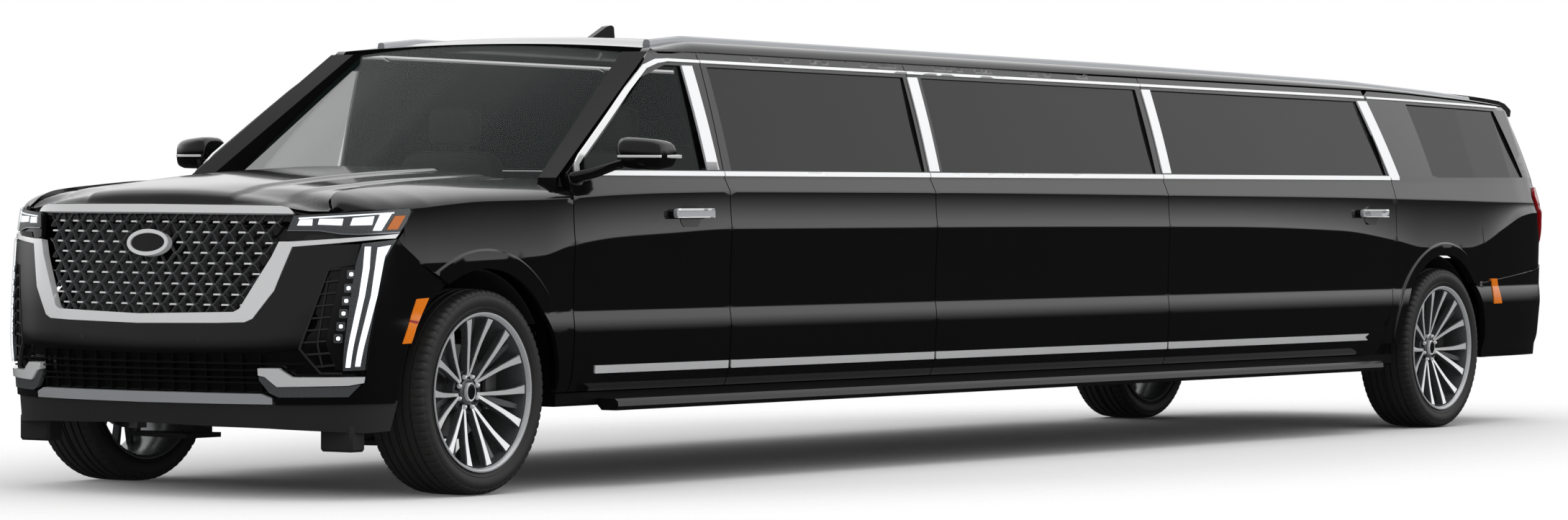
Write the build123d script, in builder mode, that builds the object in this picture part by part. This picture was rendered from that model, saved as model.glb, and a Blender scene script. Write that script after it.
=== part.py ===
# Stretch limousine on a full-size SUV chassis.
# Millimetres, +X forward, +Y to the car's left, +Z up, wheels standing on Z = 0,
# origin on the ground below the middle of the car.
import os
from math import cos, hypot, radians, sin, tan

from build123d import *

os.makedirs("parts", exist_ok=True)

# ---------------------------------------------------------------- driving sizes
wheelbase = 8150
front_overhang = 925
rear_overhang = 1450
half_width = 1030                # widest crease of the doors
track = 1740
tyre_radius = 410
tyre_width = 285
rim_lip_radius = 318
rim_width = 255

door_bottom_z = 395
belt_z = 1290                    # lower edge of the side windows
door_depth = 100                 # thickness of a door below the belt
frame_depth = 44                 # thickness of a window frame
panel_gap = 6                    # shut gap round doors, hood and tailgate
roof_gap = 9                     # gap between door tops and the roof skin
seat_clearance = 0.3             # between pieces that rest on each other
glass_thickness = 5
glass_inset = 8                  # side glass behind the window frame's skin

fender_length = 585              # front axle to the front shut line
front_door_length = 1105
first_panel_length = 1600
second_panel_length = 2040
rear_door_end = 530              # ahead of the rear axle

front_arch_radius = 490
rear_arch_radius = 480
well_wall = 6

hinge_inset = 60                 # hinge axis behind the door's front edge
hinge_depth = 30                 # hinge axis inboard of the widest crease
hinge_heights = (560, 900)
hinge_pin_radius = 6
hinge_barrel_radius = 11
hinge_pin_clearance = 0.3
door_opening = 65                # degrees

rail_y = 465                     # ladder frame rails
rail_width = 70
rail_bottom_z = 490
rail_height = 110
jack_pad = (90, 60, 12)          # length, width and depth of the pads under the rails
floor_z = 600
floor_thickness = 20
sill_inner_y = half_width - 180
sill_top_z = 620
sill_bottom_z = 335
pillar_thickness = 50

kingpin_y = 790
steering_lock = 33               # degrees each way

# ---------------------------------------------------------------- stations
front_axle_x = (wheelbase + rear_overhang - front_overhang) / 2
rear_axle_x = front_axle_x - wheelbase
nose_x = front_axle_x + front_overhang
tail_x = rear_axle_x - rear_overhang
cut_a = front_axle_x - fender_length
cut_b = cut_a - front_door_length
cut_c = cut_b - first_panel_length
cut_d = cut_c - second_panel_length
cut_e = rear_axle_x + rear_door_end
wheel_z = tyre_radius
wheel_y = track / 2
hinge_y = half_width - hinge_depth
front_hinge_x = cut_a - hinge_inset
rear_hinge_x = cut_d - hinge_inset
shell_y = half_width - door_depth            # inner face of a door
post_y = shell_y - panel_gap                 # outer face of posts and sills
roof_end_x = rear_axle_x - 1090             # roof and quarter panels end here
quarter_end_x = roof_end_x

# side skin: height, inset from the widest crease
side_rows = [
    (door_bottom_z, 40),
    (470, 15),
    (632, 2),
    (720, 11),
    (1045, 0),
    (1235, 11),
    (1262, 40),
    (belt_z, 46),
]

# along the car: x, side inset, window top z, door top rise, roof shoulder rise, roof crown rise
body_rows = [
    (nose_x - 300, 60, 1752, 30, 45, 60),
    (front_axle_x, 12, 1752, 34, 45, 60),
    (cut_a, 4, 1752, 38, 50, 66),
    (cut_a - 795, 0, 1744, 40, 64, 86),
    (cut_b - 60, 0, 1740, 46, 100, 128),
    (cut_d, 0, 1702, 46, 92, 124),
    (cut_e, 8, 1677, 46, 75, 110),
    (rear_axle_x - 450, 24, 1659, 34, 54, 90),
    (rear_axle_x - 890, 40, 1649, 24, 42, 76),
    (roof_end_x, 58, 1645, 18, 36, 66),
    (tail_x, 90, 1640, 16, 30, 56),
]
frame_lean = 170                 # window top inboard of the widest crease
door_top_lean = 192
rail_lean = 250                  # outer face of the roof rail inboard of the crease
roof_skin = 30


def at_station(rows, x):
    """Values of a table at x, straight between its rows."""
    for ahead, behind in zip(rows, rows[1:]):
        if behind[0] <= x <= ahead[0]:
            share = (ahead[0] - x) / (ahead[0] - behind[0])
            return [a + (b - a) * share for a, b in zip(ahead[1:], behind[1:])]
    return list(rows[0][1:]) if x > rows[0][0] else list(rows[-1][1:])


def stations(rear_x, front_x):
    """Both ends and each row of the body table between them."""
    inner = [row[0] for row in body_rows if rear_x + 1 < row[0] < front_x - 1]
    return [front_x] + inner + [rear_x]


def yz_face(x, points):
    """Flat face across the car from (y, z) corners."""
    with BuildSketch(Plane(origin=(x, 0, 0), x_dir=(0, 1, 0), z_dir=(1, 0, 0))) as face:
        with BuildLine():
            Polyline(*points, close=True)
        make_face()
    return face.sketch


def xz_face(y, points):
    """Flat face along the car from (x, z) corners; it faces the car's right."""
    with BuildSketch(Plane(origin=(0, y, 0), x_dir=(1, 0, 0), z_dir=(0, -1, 0))) as face:
        with BuildLine():
            Polyline(*points, close=True)
        make_face()
    return face.sketch


def xy_face(z, points):
    """Level face from (x, y) corners."""
    with BuildSketch(Plane.XY.offset(z)) as face:
        with BuildLine():
            Polyline(*points, close=True)
        make_face()
    return face.sketch


def mirrored(piece):
    return mirror(piece, about=Plane.XZ, mode=Mode.PRIVATE)


# ---------------------------------------------------------------- side of the body
def side_skin(x):
    """Outer (y, z) corners of the side from the door's bottom to its top."""
    inset, window_top, door_rise, _, _ = at_station(body_rows, x)
    skin = [(half_width - inset - step, z) for z, step in side_rows]
    return skin + [
        (half_width - inset - frame_lean, window_top),
        (half_width - inset - door_top_lean, window_top + door_rise),
    ]


def side_section(x, extra=0.0):
    """Closed (y, z) section of a door; extra thickens it inward for fixed panels."""
    inset, window_top, door_rise, _, _ = at_station(body_rows, x)
    wall = half_width - inset
    inner = [
        (wall - door_top_lean - frame_depth + 2 - extra, window_top + door_rise - 5),
        (wall - frame_lean - frame_depth - extra, window_top),
        (wall - 94 - extra, belt_z),
        (shell_y - extra, belt_z - 40),
        (shell_y - extra, door_bottom_z),
    ]
    return side_skin(x) + inner


def glass_section(x):
    """Thin (y, z) slab behind the window frame's skin."""
    inset, window_top, door_rise, _, _ = at_station(body_rows, x)
    wall = half_width - inset
    lower = wall - side_rows[-1][1] - glass_inset
    upper = wall - frame_lean - glass_inset
    slope = (upper - lower) / (window_top - belt_z)
    drop = 20
    return [
        (lower - slope * drop, belt_z - drop),
        (upper + slope * drop, window_top + drop),
        (upper + slope * drop - glass_thickness, window_top + drop),
        (lower - slope * drop - glass_thickness, belt_z - drop),
    ]


def side_blank(rear_x, front_x, extra=0.0):
    """Sections of the side between two stations, ready for a loft."""
    return [yz_face(x, side_section(x, extra)) for x in stations(rear_x, front_x)]


def glass_blank(rear_x, front_x):
    return [yz_face(x, glass_section(x)) for x in stations(rear_x, front_x)]


def window_top_at(x):
    return at_station(body_rows, x)[1]


def door_top_at(x):
    values = at_station(body_rows, x)
    return values[1] + values[2]


# windows in the side, as (x, z) corners
window_sill_z = belt_z + 6
pillar_slope = 426 / 640                      # rise of the windshield pillar
front_window = [
    (cut_a - 100, window_sill_z),
    (cut_a - 105, window_sill_z + 8),
    (cut_a - 740, window_top_at(cut_a - 740) - 22),
    (cut_a - 775, window_top_at(cut_a - 775) - 4),
    (cut_b + 160, window_top_at(cut_b) - 2),
    (cut_b + 160, window_sill_z),
]
first_window = [
    (cut_b - 60, window_sill_z),
    (cut_b - 60, window_top_at(cut_b) - 3),
    (cut_c + 35, window_top_at(cut_c) - 3),
    (cut_c + 35, window_sill_z),
]
second_window = [
    (cut_c - 110, window_sill_z),
    (cut_c - 110, window_top_at(cut_c) - 4),
    (cut_d + 55, window_top_at(cut_d) - 4),
    (cut_d + 55, window_sill_z),
]
rear_window = [
    (cut_d - 90, window_sill_z),
    (cut_d - 90, window_top_at(cut_d) - 4),
    (cut_e + 120, window_top_at(cut_e) - 4),
    (cut_e + 35, window_sill_z),
]
quarter_window = [
    (cut_e - 480, window_sill_z),
    (cut_e - 400, window_top_at(cut_e - 400) - 8),
    (rear_axle_x - 945, window_top_at(rear_axle_x - 945) - 8),
    (rear_axle_x - 1060, window_sill_z - 10),
    (cut_e - 520, window_sill_z - 10),
]

# door outlines, as (x, z) corners, to the middle of the shut gap
front_door_edge = cut_a - panel_gap / 2
corner_z = 1286
pillar_foot_x = front_door_edge - 75
front_door_outline = [
    (front_door_edge, door_bottom_z),
    (front_door_edge, corner_z),
    (pillar_foot_x, corner_z + 50),
    (cut_a - 783, corner_z + 50 + (783 - 78) * pillar_slope),
    (cut_a - 800, 1900),
    (cut_b + panel_gap / 2, 1900),
    (cut_b + panel_gap / 2, door_bottom_z),
]


def cut_e_line(side):
    """(x, z) corners of the shut line ahead of the rear wheel, from bottom to top."""
    return [
        (cut_e + 165 + side, door_bottom_z),
        (cut_e + 130 + side, 445),
        (cut_e + 40 + side, 640),
        (cut_e + 5 + side, 860),
        (cut_e - 10 + side, belt_z),
        (cut_e + 45 + side, 1740),
        (cut_e + 60 + side, 1900),
    ]


rear_door_outline = [
    (cut_d - panel_gap / 2, 1900),
    (cut_d - panel_gap / 2, door_bottom_z),
] + cut_e_line(panel_gap / 2)


def hinge_pocket(x, z):
    """Room in a door for the fixed hinge leaf, open to its front and inner face."""
    with BuildPart() as pocket:
        with BuildSketch(Plane.XY.offset(z - 30)):
            with BuildLine():
                Polyline(
                    (x - 17, hinge_y + 13),
                    (x + hinge_inset + 20, hinge_y + 13),
                    (x + hinge_inset + 20, hinge_y - hinge_depth * 3),
                    (x - 17, hinge_y - hinge_depth * 3),
                    close=True,
                )
            make_face()
        extrude(amount=60)
    return pocket.part


def hinge_relief(x):
    """Rounds the inner front corner of a door so that it turns past its post."""
    sweep = door_depth - hinge_depth - 0.5
    with BuildPart() as relief:
        with BuildSketch(Plane.XY.offset(door_bottom_z - 10)):
            with Locations((x + sweep / 2 + 5, hinge_y - sweep / 2 - 5)):
                Rectangle(sweep + 10, sweep + 10)
            with Locations((x, hinge_y)):
                Circle(sweep, mode=Mode.SUBTRACT)
        extrude(amount=belt_z + 70 - door_bottom_z)
    return relief.part


def hinge_sweep(x):
    """Round hollow in the panel ahead of a hinge, clear of the door's turning edge."""
    with BuildPart() as sweep:
        with Locations((x, hinge_y, door_bottom_z - 80)):
            Cylinder(
                hypot(hinge_inset + panel_gap, hinge_depth),
                1262 - door_bottom_z + 80,
                align=(Align.CENTER, Align.CENTER, Align.MIN),
            )
    return sweep.part


def frame_bevel(x):
    """Wedge off the rear edge of a window frame, so that it swings out past the next one."""
    slant = tan(radians(13))
    heights = [(1240, half_width + 2), (belt_z, half_width - 44), (1800, half_width - 194)]
    with BuildPart() as bevel:
        loft(
            sections=[
                xy_face(z, [(x, y), (x + 90 * slant, y - 90), (x - 60, y - 90), (x - 60, y)])
                for z, y in heights
            ],
            ruled=True,
        )
    return bevel.part


with BuildPart() as front_door_left:
    loft(sections=side_blank(cut_b, cut_a + 60), ruled=True)
    extrude(xz_face(half_width + 50, front_door_outline), amount=400, mode=Mode.INTERSECT)
    extrude(xz_face(half_width + 50, front_window), amount=400, mode=Mode.SUBTRACT)
    add(hinge_relief(front_hinge_x), mode=Mode.SUBTRACT)
    add(frame_bevel(cut_b + panel_gap / 2), mode=Mode.SUBTRACT)
    for height in hinge_heights:
        add(hinge_pocket(front_hinge_x, height), mode=Mode.SUBTRACT)
        with Locations((front_hinge_x, hinge_y, height)):
            Cylinder(hinge_pin_radius, 64)
front_door_left.part.label = "front_door_left"
export_step(front_door_left.part, "parts/front_door_left.step")

with BuildPart() as front_door_glass_left:
    loft(sections=glass_blank(cut_b, cut_a + 60), ruled=True)
    extrude(xz_face(half_width + 50, front_window), amount=400, mode=Mode.INTERSECT)
front_door_glass_left.part.label = "front_door_glass_left"
export_step(front_door_glass_left.part, "parts/front_door_glass_left.step")

with BuildPart() as rear_door_left:
    loft(sections=side_blank(cut_e - 20, cut_d + 5), ruled=True)
    extrude(xz_face(half_width + 50, rear_door_outline), amount=400, mode=Mode.INTERSECT)
    extrude(xz_face(half_width + 50, rear_window), amount=400, mode=Mode.SUBTRACT)
    add(hinge_relief(rear_hinge_x), mode=Mode.SUBTRACT)
    for height in hinge_heights:
        add(hinge_pocket(rear_hinge_x, height), mode=Mode.SUBTRACT)
        with Locations((rear_hinge_x, hinge_y, height)):
            Cylinder(hinge_pin_radius, 64)
rear_door_left.part.label = "rear_door_left"
export_step(rear_door_left.part, "parts/rear_door_left.step")

with BuildPart() as rear_door_glass_left:
    loft(sections=glass_blank(cut_e - 20, cut_d + 5), ruled=True)
    extrude(xz_face(half_width + 50, rear_window), amount=400, mode=Mode.INTERSECT)
rear_door_glass_left.part.label = "rear_door_glass_left"
export_step(rear_door_glass_left.part, "parts/rear_door_glass_left.step")

# fixed sides between the doors
with BuildPart() as side_panels:
    loft(sections=side_blank(cut_d + panel_gap / 2, cut_b - panel_gap / 2, panel_gap), ruled=True)
    for window in (first_window, second_window):
        extrude(xz_face(half_width + 50, window), amount=400, mode=Mode.SUBTRACT)
    add(hinge_sweep(rear_hinge_x), mode=Mode.SUBTRACT)
    mirror(about=Plane.XZ)
side_panels.part.label = "side_panels"
export_step(side_panels.part, "parts/side_panels.step")

# ---------------------------------------------------------------- rear quarter
lamp_z = (890, 1235)             # tail lamp, bottom and top
bumper_step_z = 740              # top of the rear bumper's sides
tail_sill_z = 860                # bottom edge of the tailgate
tailgate_half_low = 780
tailgate_half_high = 655
tail_thickness = 45

# rear end: z, rear-most x behind the roof's end, half width
tail_rows = [
    (bumper_step_z - 10, -330, 968),
    (tail_sill_z, -335, 972),
    (1050, -325, 974),
    (1262, -275, 948),
    (1650, -85, 810),
    (1690, -62, 770),
]


# corner of the tail: share of the depth from its middle, share of the half width
tail_corner_rows = [(0.0, 0.0), (0.04, 0.42), (0.12, 0.73), (0.32, 0.905), (0.62, 0.975), (1.0, 1.0)]


def tail_half(z, inset=0.0):
    """Left half of the level outline of the tail, from its middle to the side."""
    rows = [(-row[0],) + row[1:] for row in tail_rows]
    back, half = at_station(rows, -z)
    x = roof_end_x + back + inset
    depth = quarter_end_x - x
    return [(x + depth * deep, (half - inset) * wide) for deep, wide in tail_corner_rows]


def tail_ring(z, inset, thickness):
    """Closed level section of the rear end's skin."""
    return tail_half(z, inset) + list(reversed(tail_half(z, inset + thickness)))


def tail_shell(inset, thickness):
    """Left half of the rear end, from the bumper to the roof."""
    levels = [row[0] for row in tail_rows]
    with BuildPart() as shell:
        loft(sections=[xy_face(z, tail_ring(z, inset, thickness)) for z in levels], ruled=True)
    return shell.part


tail_blank = tail_shell(0, tail_thickness)


def tailgate_half(z):
    share = (z - tail_sill_z) / (1690 - tail_sill_z)
    return tailgate_half_low + (tailgate_half_high - tailgate_half_low) * share


quarter_outline = cut_e_line(-panel_gap / 2) + [
    (quarter_end_x, 1900),
    (quarter_end_x, bumper_step_z),
    (rear_axle_x - 300, bumper_step_z),
    (rear_axle_x, door_bottom_z),
]

corner_prism = [
    (tailgate_half_low + panel_gap, tail_sill_z),
    (tailgate_half(1262) + panel_gap, 1262),
    (tailgate_half(1690) + panel_gap, 1690),
    (half_width, 1690),
    (half_width, tail_sill_z),
]
lamp_prism = [
    (tailgate_half_low + panel_gap + 6, lamp_z[0]),
    (tailgate_half(lamp_z[1]) + panel_gap + 4, lamp_z[1]),
    (half_width, lamp_z[1]),
    (half_width, lamp_z[0]),
]


def arch_cut(x, radius):
    """Round opening over a wheel, from the frame outward."""
    with BuildPart() as opening:
        with BuildSketch(Plane(origin=(0, half_width + 60, 0), x_dir=(1, 0, 0), z_dir=(0, -1, 0))):
            with Locations((x, wheel_z)):
                Circle(radius)
        extrude(amount=half_width)
    return opening.part


with BuildPart() as quarter_panels:
    loft(sections=side_blank(quarter_end_x, cut_e + 180, panel_gap), ruled=True)
    extrude(xz_face(half_width + 50, quarter_outline), amount=400, mode=Mode.INTERSECT)
    extrude(xz_face(half_width + 50, quarter_window), amount=400, mode=Mode.SUBTRACT)
    with BuildPart(mode=Mode.PRIVATE) as tail_corner:
        add(tail_blank)
        extrude(yz_face(tail_x - 50, corner_prism), amount=700, mode=Mode.INTERSECT)
        extrude(yz_face(tail_x - 50, lamp_prism), amount=700, mode=Mode.SUBTRACT)
    add(tail_corner.part)
    add(arch_cut(rear_axle_x, rear_arch_radius + seat_clearance), mode=Mode.SUBTRACT)
    mirror(about=Plane.XZ)
quarter_panels.part.label = "quarter_panels"
export_step(quarter_panels.part, "parts/quarter_panels.step")

with BuildPart() as tail_lamps:
    add(tail_blank)
    extrude(yz_face(tail_x - 50, lamp_prism), amount=700, mode=Mode.INTERSECT)
    mirror(about=Plane.XZ)
tail_lamps.part.label = "tail_lamps"
export_step(tail_lamps.part, "parts/tail_lamps.step")

# ---------------------------------------------------------------- roof and tail
tailgate_frame = 60
tailgate_glass_z = (1275, 1590)
spoiler_length = 150
spoiler_depth = 45


def whole_yz(left):
    """Closed (y, z) outline from its left half."""
    return left + [(-y, z) for y, z in reversed(left) if y > 0]


def whole_xy(left):
    """Closed (x, y) outline from its left half."""
    return left + [(x, -y) for x, y in reversed(left) if y > 0]


def roof_heights(x):
    """Edge, shoulder and crown heights of the roof skin."""
    _, window_top, door_rise, shoulder, crown = at_station(body_rows, x)
    return window_top + door_rise + roof_gap, window_top + shoulder, window_top + crown


def roof_section(x):
    inset, window_top, _, _, _ = at_station(body_rows, x)
    edge, shoulder, crown = roof_heights(x)
    wall = half_width - inset
    shelf = max(edge, shoulder - roof_skin)
    outer = [
        (0, crown),
        (400, shoulder + 0.7 * (crown - shoulder)),
        (wall - 330, shoulder),
        (wall - 240, edge + 0.7 * (shoulder - edge)),
        (wall - 198, edge),
    ]
    inner = [
        (wall - rail_lean, edge),
        (wall - rail_lean, window_top),
        (wall - rail_lean - 40, window_top),
        (wall - rail_lean - 40, min(edge, shoulder - roof_skin + 4)),
        (wall - 330, shoulder - roof_skin),
        (400, shoulder + 0.7 * (crown - shoulder) - roof_skin),
        (0, crown - roof_skin),
    ]
    return whole_yz(outer + inner)


roof_front_x = cut_a - 795
header_length = 90
rack_width = 40
rack_rise = 26

tailgate_top_z = roof_heights(roof_end_x)[2]
gate_hinge_x = roof_end_x
gate_hinge_z = tailgate_top_z
gate_hinge_y = 430
gate_barrel_radius = 8
gate_pin_radius = 4
gate_barrel_length = 60

with BuildPart() as roof:
    loft(
        sections=[yz_face(x, roof_section(x)) for x in stations(roof_end_x, roof_front_x)],
        ruled=True,
    )
    # header over the windshield
    with Locations((roof_front_x - header_length / 2, 0, window_top_at(roof_front_x) + 1)):
        Box(header_length, 2 * (half_width - rail_lean - 38), 57,
            align=(Align.CENTER, Align.CENTER, Align.MIN))
    for side in (-1, 1):
        with Locations((gate_hinge_x + 7, side * gate_hinge_y, gate_hinge_z - 12)):
            Box(14, gate_barrel_length + 40, 44, mode=Mode.SUBTRACT)
        with Locations((gate_hinge_x + 8, side * gate_hinge_y, gate_hinge_z - 12)):
            Box(16, gate_barrel_length, 28)
        with Locations((gate_hinge_x, side * gate_hinge_y, gate_hinge_z)):
            Cylinder(gate_barrel_radius, gate_barrel_length, rotation=(90, 0, 0))
            Cylinder(
                gate_pin_radius + hinge_pin_clearance,
                gate_barrel_length + 2,
                rotation=(90, 0, 0),
                mode=Mode.SUBTRACT,
            )
roof.part.label = "roof"
export_step(roof.part, "parts/roof.step")


def roof_z(x, y):
    """Height of the roof skin at a place inboard of its shoulder's outer edge."""
    inset = at_station(body_rows, x)[0]
    edge, shoulder, crown = roof_heights(x)
    wall = half_width - inset
    rows = [
        (0, crown),
        (400, shoulder + 0.7 * (crown - shoulder)),
        (wall - 330, shoulder),
        (wall - 240, edge + 0.7 * (shoulder - edge)),
    ]
    return at_station([(-a, b) for a, b in rows], -y)[0]


def rack_section(x):
    """Closed section of a roof rail bedded on the skin."""
    bend_y = half_width - at_station(body_rows, x)[0] - 330
    inner_y = bend_y - rack_width / 4
    outer_y = inner_y + rack_width
    top = roof_z(x, bend_y) + rack_rise
    return [
        (inner_y, roof_z(x, inner_y) + seat_clearance),
        (bend_y, roof_z(x, bend_y) + seat_clearance),
        (outer_y, roof_z(x, outer_y) + seat_clearance),
        (outer_y - 4, top - 6),
        (outer_y - 10, top),
        (inner_y + 10, top),
        (inner_y + 4, top - 6),
    ]


with BuildPart() as roof_rails:
    loft(
        sections=[
            yz_face(x, rack_section(x)) for x in stations(rear_axle_x - 900, roof_front_x - 130)
        ],
        ruled=True,
    )
    mirror(about=Plane.XZ)
roof_rails.part.label = "roof_rails"
export_step(roof_rails.part, "parts/roof_rails.step")

fin_x = front_axle_x - 2150
fin_length = 190
fin_height = 68
with BuildPart() as roof_antenna:
    with BuildSketch(Plane(origin=(0, 14, 0), x_dir=(1, 0, 0), z_dir=(0, -1, 0))):
        with BuildLine():
            Polyline(
                (fin_x + fin_length / 2, roof_z(fin_x + fin_length / 2, 0) + seat_clearance),
                (fin_x - fin_length / 2 + 60, roof_z(fin_x, 0) + fin_height - 6),
                (fin_x - fin_length / 2 + 25, roof_z(fin_x, 0) + fin_height),
                (fin_x - fin_length / 2 + 8, roof_z(fin_x, 0) + fin_height - 8),
                (fin_x - fin_length / 2, roof_z(fin_x - fin_length / 2, 0) + seat_clearance),
                close=True,
            )
        make_face()
    extrude(amount=28)
roof_antenna.part.label = "roof_antenna"
export_step(roof_antenna.part, "parts/roof_antenna.step")


def tailgate_outline(grow=0.0):
    """Whole (y, z) outline of the tailgate."""
    left = [
        (0, tail_sill_z - grow),
        (tailgate_half_low + grow, tail_sill_z - grow),
        (tailgate_half(1262) + grow, 1262),
        (tailgate_half(1690) + grow, 1690 + grow),
        (0, 1760),
    ]
    return whole_yz(left)


tailgate_window = [
    (0, tailgate_glass_z[0]),
    (tailgate_half(tailgate_glass_z[0]) - 45, tailgate_glass_z[0]),
    (tailgate_half(tailgate_glass_z[1]) - 45, tailgate_glass_z[1]),
    (0, tailgate_glass_z[1] + 12),
]


def spoiler_section(x):
    """Closed section of the spoiler: it carries the roof's line rearward."""
    edge, shoulder, crown = roof_heights(roof_end_x)
    run = roof_end_x - x
    fall = run * 0.03
    thick = spoiler_depth * (1 - run / spoiler_length * 0.55)
    half = 0.9 * tailgate_half_high + 40 - run * 0.15
    left = [
        (0, crown - fall),
        (400, shoulder + 0.7 * (crown - shoulder) - fall),
        (half, shoulder - fall),
        (half + 20, shoulder - fall - 14),
        (half + 20, shoulder - fall - thick),
        (0, crown - fall - thick),
    ]
    return whole_yz(left)


with BuildPart() as tailgate:
    add(tail_blank)
    mirror(about=Plane.XZ)
    extrude(yz_face(tail_x - 50, tailgate_outline()), amount=700, mode=Mode.INTERSECT)
    with Locations((roof_end_x + 100 - panel_gap, 0, 1300)):
        Box(200, 2 * half_width, 1200, mode=Mode.SUBTRACT)
    extrude(yz_face(tail_x - 50, whole_yz(tailgate_window)), amount=700, mode=Mode.SUBTRACT)
    loft(
        sections=[
            yz_face(x, spoiler_section(x))
            for x in (roof_end_x - panel_gap, roof_end_x - spoiler_length)
        ],
        ruled=True,
    )
    for side in (-1, 1):
        with Locations((gate_hinge_x - 10, side * gate_hinge_y, gate_hinge_z - 12)):
            Box(44, gate_barrel_length + 12, 44, mode=Mode.SUBTRACT)
        with Locations((gate_hinge_x, side * gate_hinge_y, gate_hinge_z)):
            Cylinder(gate_pin_radius, gate_barrel_length + 24, rotation=(90, 0, 0))
        for end in (-1, 1):
            y = side * gate_hinge_y + end * (gate_barrel_length / 2 + 9)
            with Locations((gate_hinge_x - 15, y, gate_hinge_z - 4)):
                Box(38, 6, 14)
tailgate.part.label = "tailgate"
export_step(tailgate.part, "parts/tailgate.step")

with BuildPart() as tailgate_glass:
    add(tail_shell(glass_inset, glass_thickness))
    mirror(about=Plane.XZ)
    extrude(yz_face(tail_x - 50, whole_yz(tailgate_window)), amount=700, mode=Mode.INTERSECT)
tailgate_glass.part.label = "tailgate_glass"
export_step(tailgate_glass.part, "parts/tailgate_glass.step")

# ---------------------------------------------------------------- front of the body
hood_thickness = 22
nose_thickness = 55
beam_x = front_axle_x + 690      # bumper beam on the front of the frame
beam_depth = 60
beam_z = 500
nose_rear_x = front_axle_x + 362
headlamp_z = (1050, 1138)
headlamp_inner_y = 582
top_bar_z = 1150
front_bumper_bottom_z = 275

# hood: x, centre z, z at 400 out, edge half width, edge z
hood_rows = [
    (front_axle_x + 830, 1154, 1152, 670, 1148),
    (front_axle_x + 620, 1212, 1211, 702, 1203),
    (front_axle_x, 1280, 1274, 775, 1242),
    (cut_a, 1308, 1298, 797, 1258),
]
# fender: x, side inset, shoulder z
fender_rows = [
    (front_axle_x + 640, 105, 1122),
    (front_axle_x + 450, 36, 1135),
    (front_axle_x, 12, 1186),
    (cut_a, 4, 1228),
]
# nose: height, setback from the foremost point
nose_rows = [
    (front_bumper_bottom_z, 28),
    (400, 14),
    (572, 0),
    (700, 12),
    (1060, 72),
    (top_bar_z, 92),
]
# nose corner: distance behind the middle, half width
nose_corner_rows = [             # setback from the middle, and how far out
    (0, 0),
    (15, 300),
    (65, 590),
    (190, half_width - 180),
    (335, half_width - 68),
    (475, half_width - 22),
]


def nose_half(z, inset=0.0):
    """Left half of the level outline of the nose, ending over the front wheel."""
    rows = [(-a, b) for a, b in nose_rows]
    setback = at_station(rows, -z)[0]
    x = nose_x - setback - inset
    side_y = half_width - 14
    corner = [
        (max(x - back, nose_rear_x + 0.1 * (side_y - y)), y - inset * y / side_y)
        for back, y in nose_corner_rows
    ]
    return corner + [(nose_rear_x, side_y - inset)]


def nose_ring(z, inset, thickness):
    inner = nose_half(z, inset + thickness)
    return whole_xy(nose_half(z, inset) + list(reversed(inner)))


def nose_shell(inset, thickness):
    """The whole nose from one front wheel arch to the other."""
    levels = [row[0] for row in nose_rows]
    with BuildPart() as shell:
        loft(sections=[xy_face(z, nose_ring(z, inset, thickness)) for z in levels], ruled=True)
    return shell.part


def hood_edge(x):
    """Half width and height of the hood's edge."""
    return at_station(hood_rows, x)[2:]


def hood_section(x):
    centre_z, mid_z, edge_y, edge_z = at_station(hood_rows, x)
    left = [
        (0, centre_z),
        (400, mid_z),
        (edge_y, edge_z),
        (edge_y, edge_z - hood_thickness),
        (400, mid_z - hood_thickness),
        (0, centre_z - hood_thickness),
    ]
    return whole_yz(left)


hood_rear_x = cut_a + 34
hood_hinge_x = hood_rear_x
hood_hinge_z = hood_edge(cut_a)[1] - hood_thickness - 11
hood_hinge_y = 770
hood_barrel_length = 30
hood_barrel_radius = 7
hood_pin_radius = 4
hood_outline = [
    (front_axle_x + 796, 0),
    (front_axle_x + 783, 300),
    (front_axle_x + 732, 560),
    (front_axle_x + 620, hood_edge(front_axle_x + 620)[0]),
    (front_axle_x, hood_edge(front_axle_x)[0]),
    (hood_rear_x, hood_edge(hood_rear_x)[0]),
    (cut_a + 70, 600),
    (cut_a + 130, 300),
    (cut_a + 145, 0),
]

with BuildPart() as hood:
    loft(
        sections=[
            yz_face(x, hood_section(x))
            for x in (
                front_axle_x + 830,
                front_axle_x + 620,
                front_axle_x,
                cut_a,
            )
        ],
        ruled=True,
    )
    extrude(xy_face(1000, whole_xy(hood_outline)), amount=500, mode=Mode.INTERSECT)
    for side in (-1, 1):
        for end in (-1, 1):
            y = side * hood_hinge_y + end * (hood_barrel_length / 2 + 5)
            with Locations((hood_hinge_x + 6, y, hood_hinge_z + 12)):
                Box(24, 6, 38)
        with Locations((hood_hinge_x, side * hood_hinge_y, hood_hinge_z)):
            Cylinder(hood_pin_radius, hood_barrel_length + 13, rotation=(90, 0, 0))
hood.part.label = "hood"
export_step(hood.part, "parts/hood.step")


def fender_section(x):
    inset, shoulder_z = at_station(fender_rows, x)
    wall = half_width - inset
    edge_y, edge_z = hood_edge(x)
    edge_y = edge_y + panel_gap
    inner_y = min(post_y, wall - 90)
    lower = [(wall - step, z) for z, step in side_rows[:5]]
    return lower + [
        (wall - 12, shoulder_z),
        (wall - 75, shoulder_z + 0.55 * (edge_z - shoulder_z)),
        (edge_y, edge_z),
        (edge_y, edge_z - hood_thickness),
        (inner_y, shoulder_z + 4),
        (inner_y, door_bottom_z),
    ]


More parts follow.
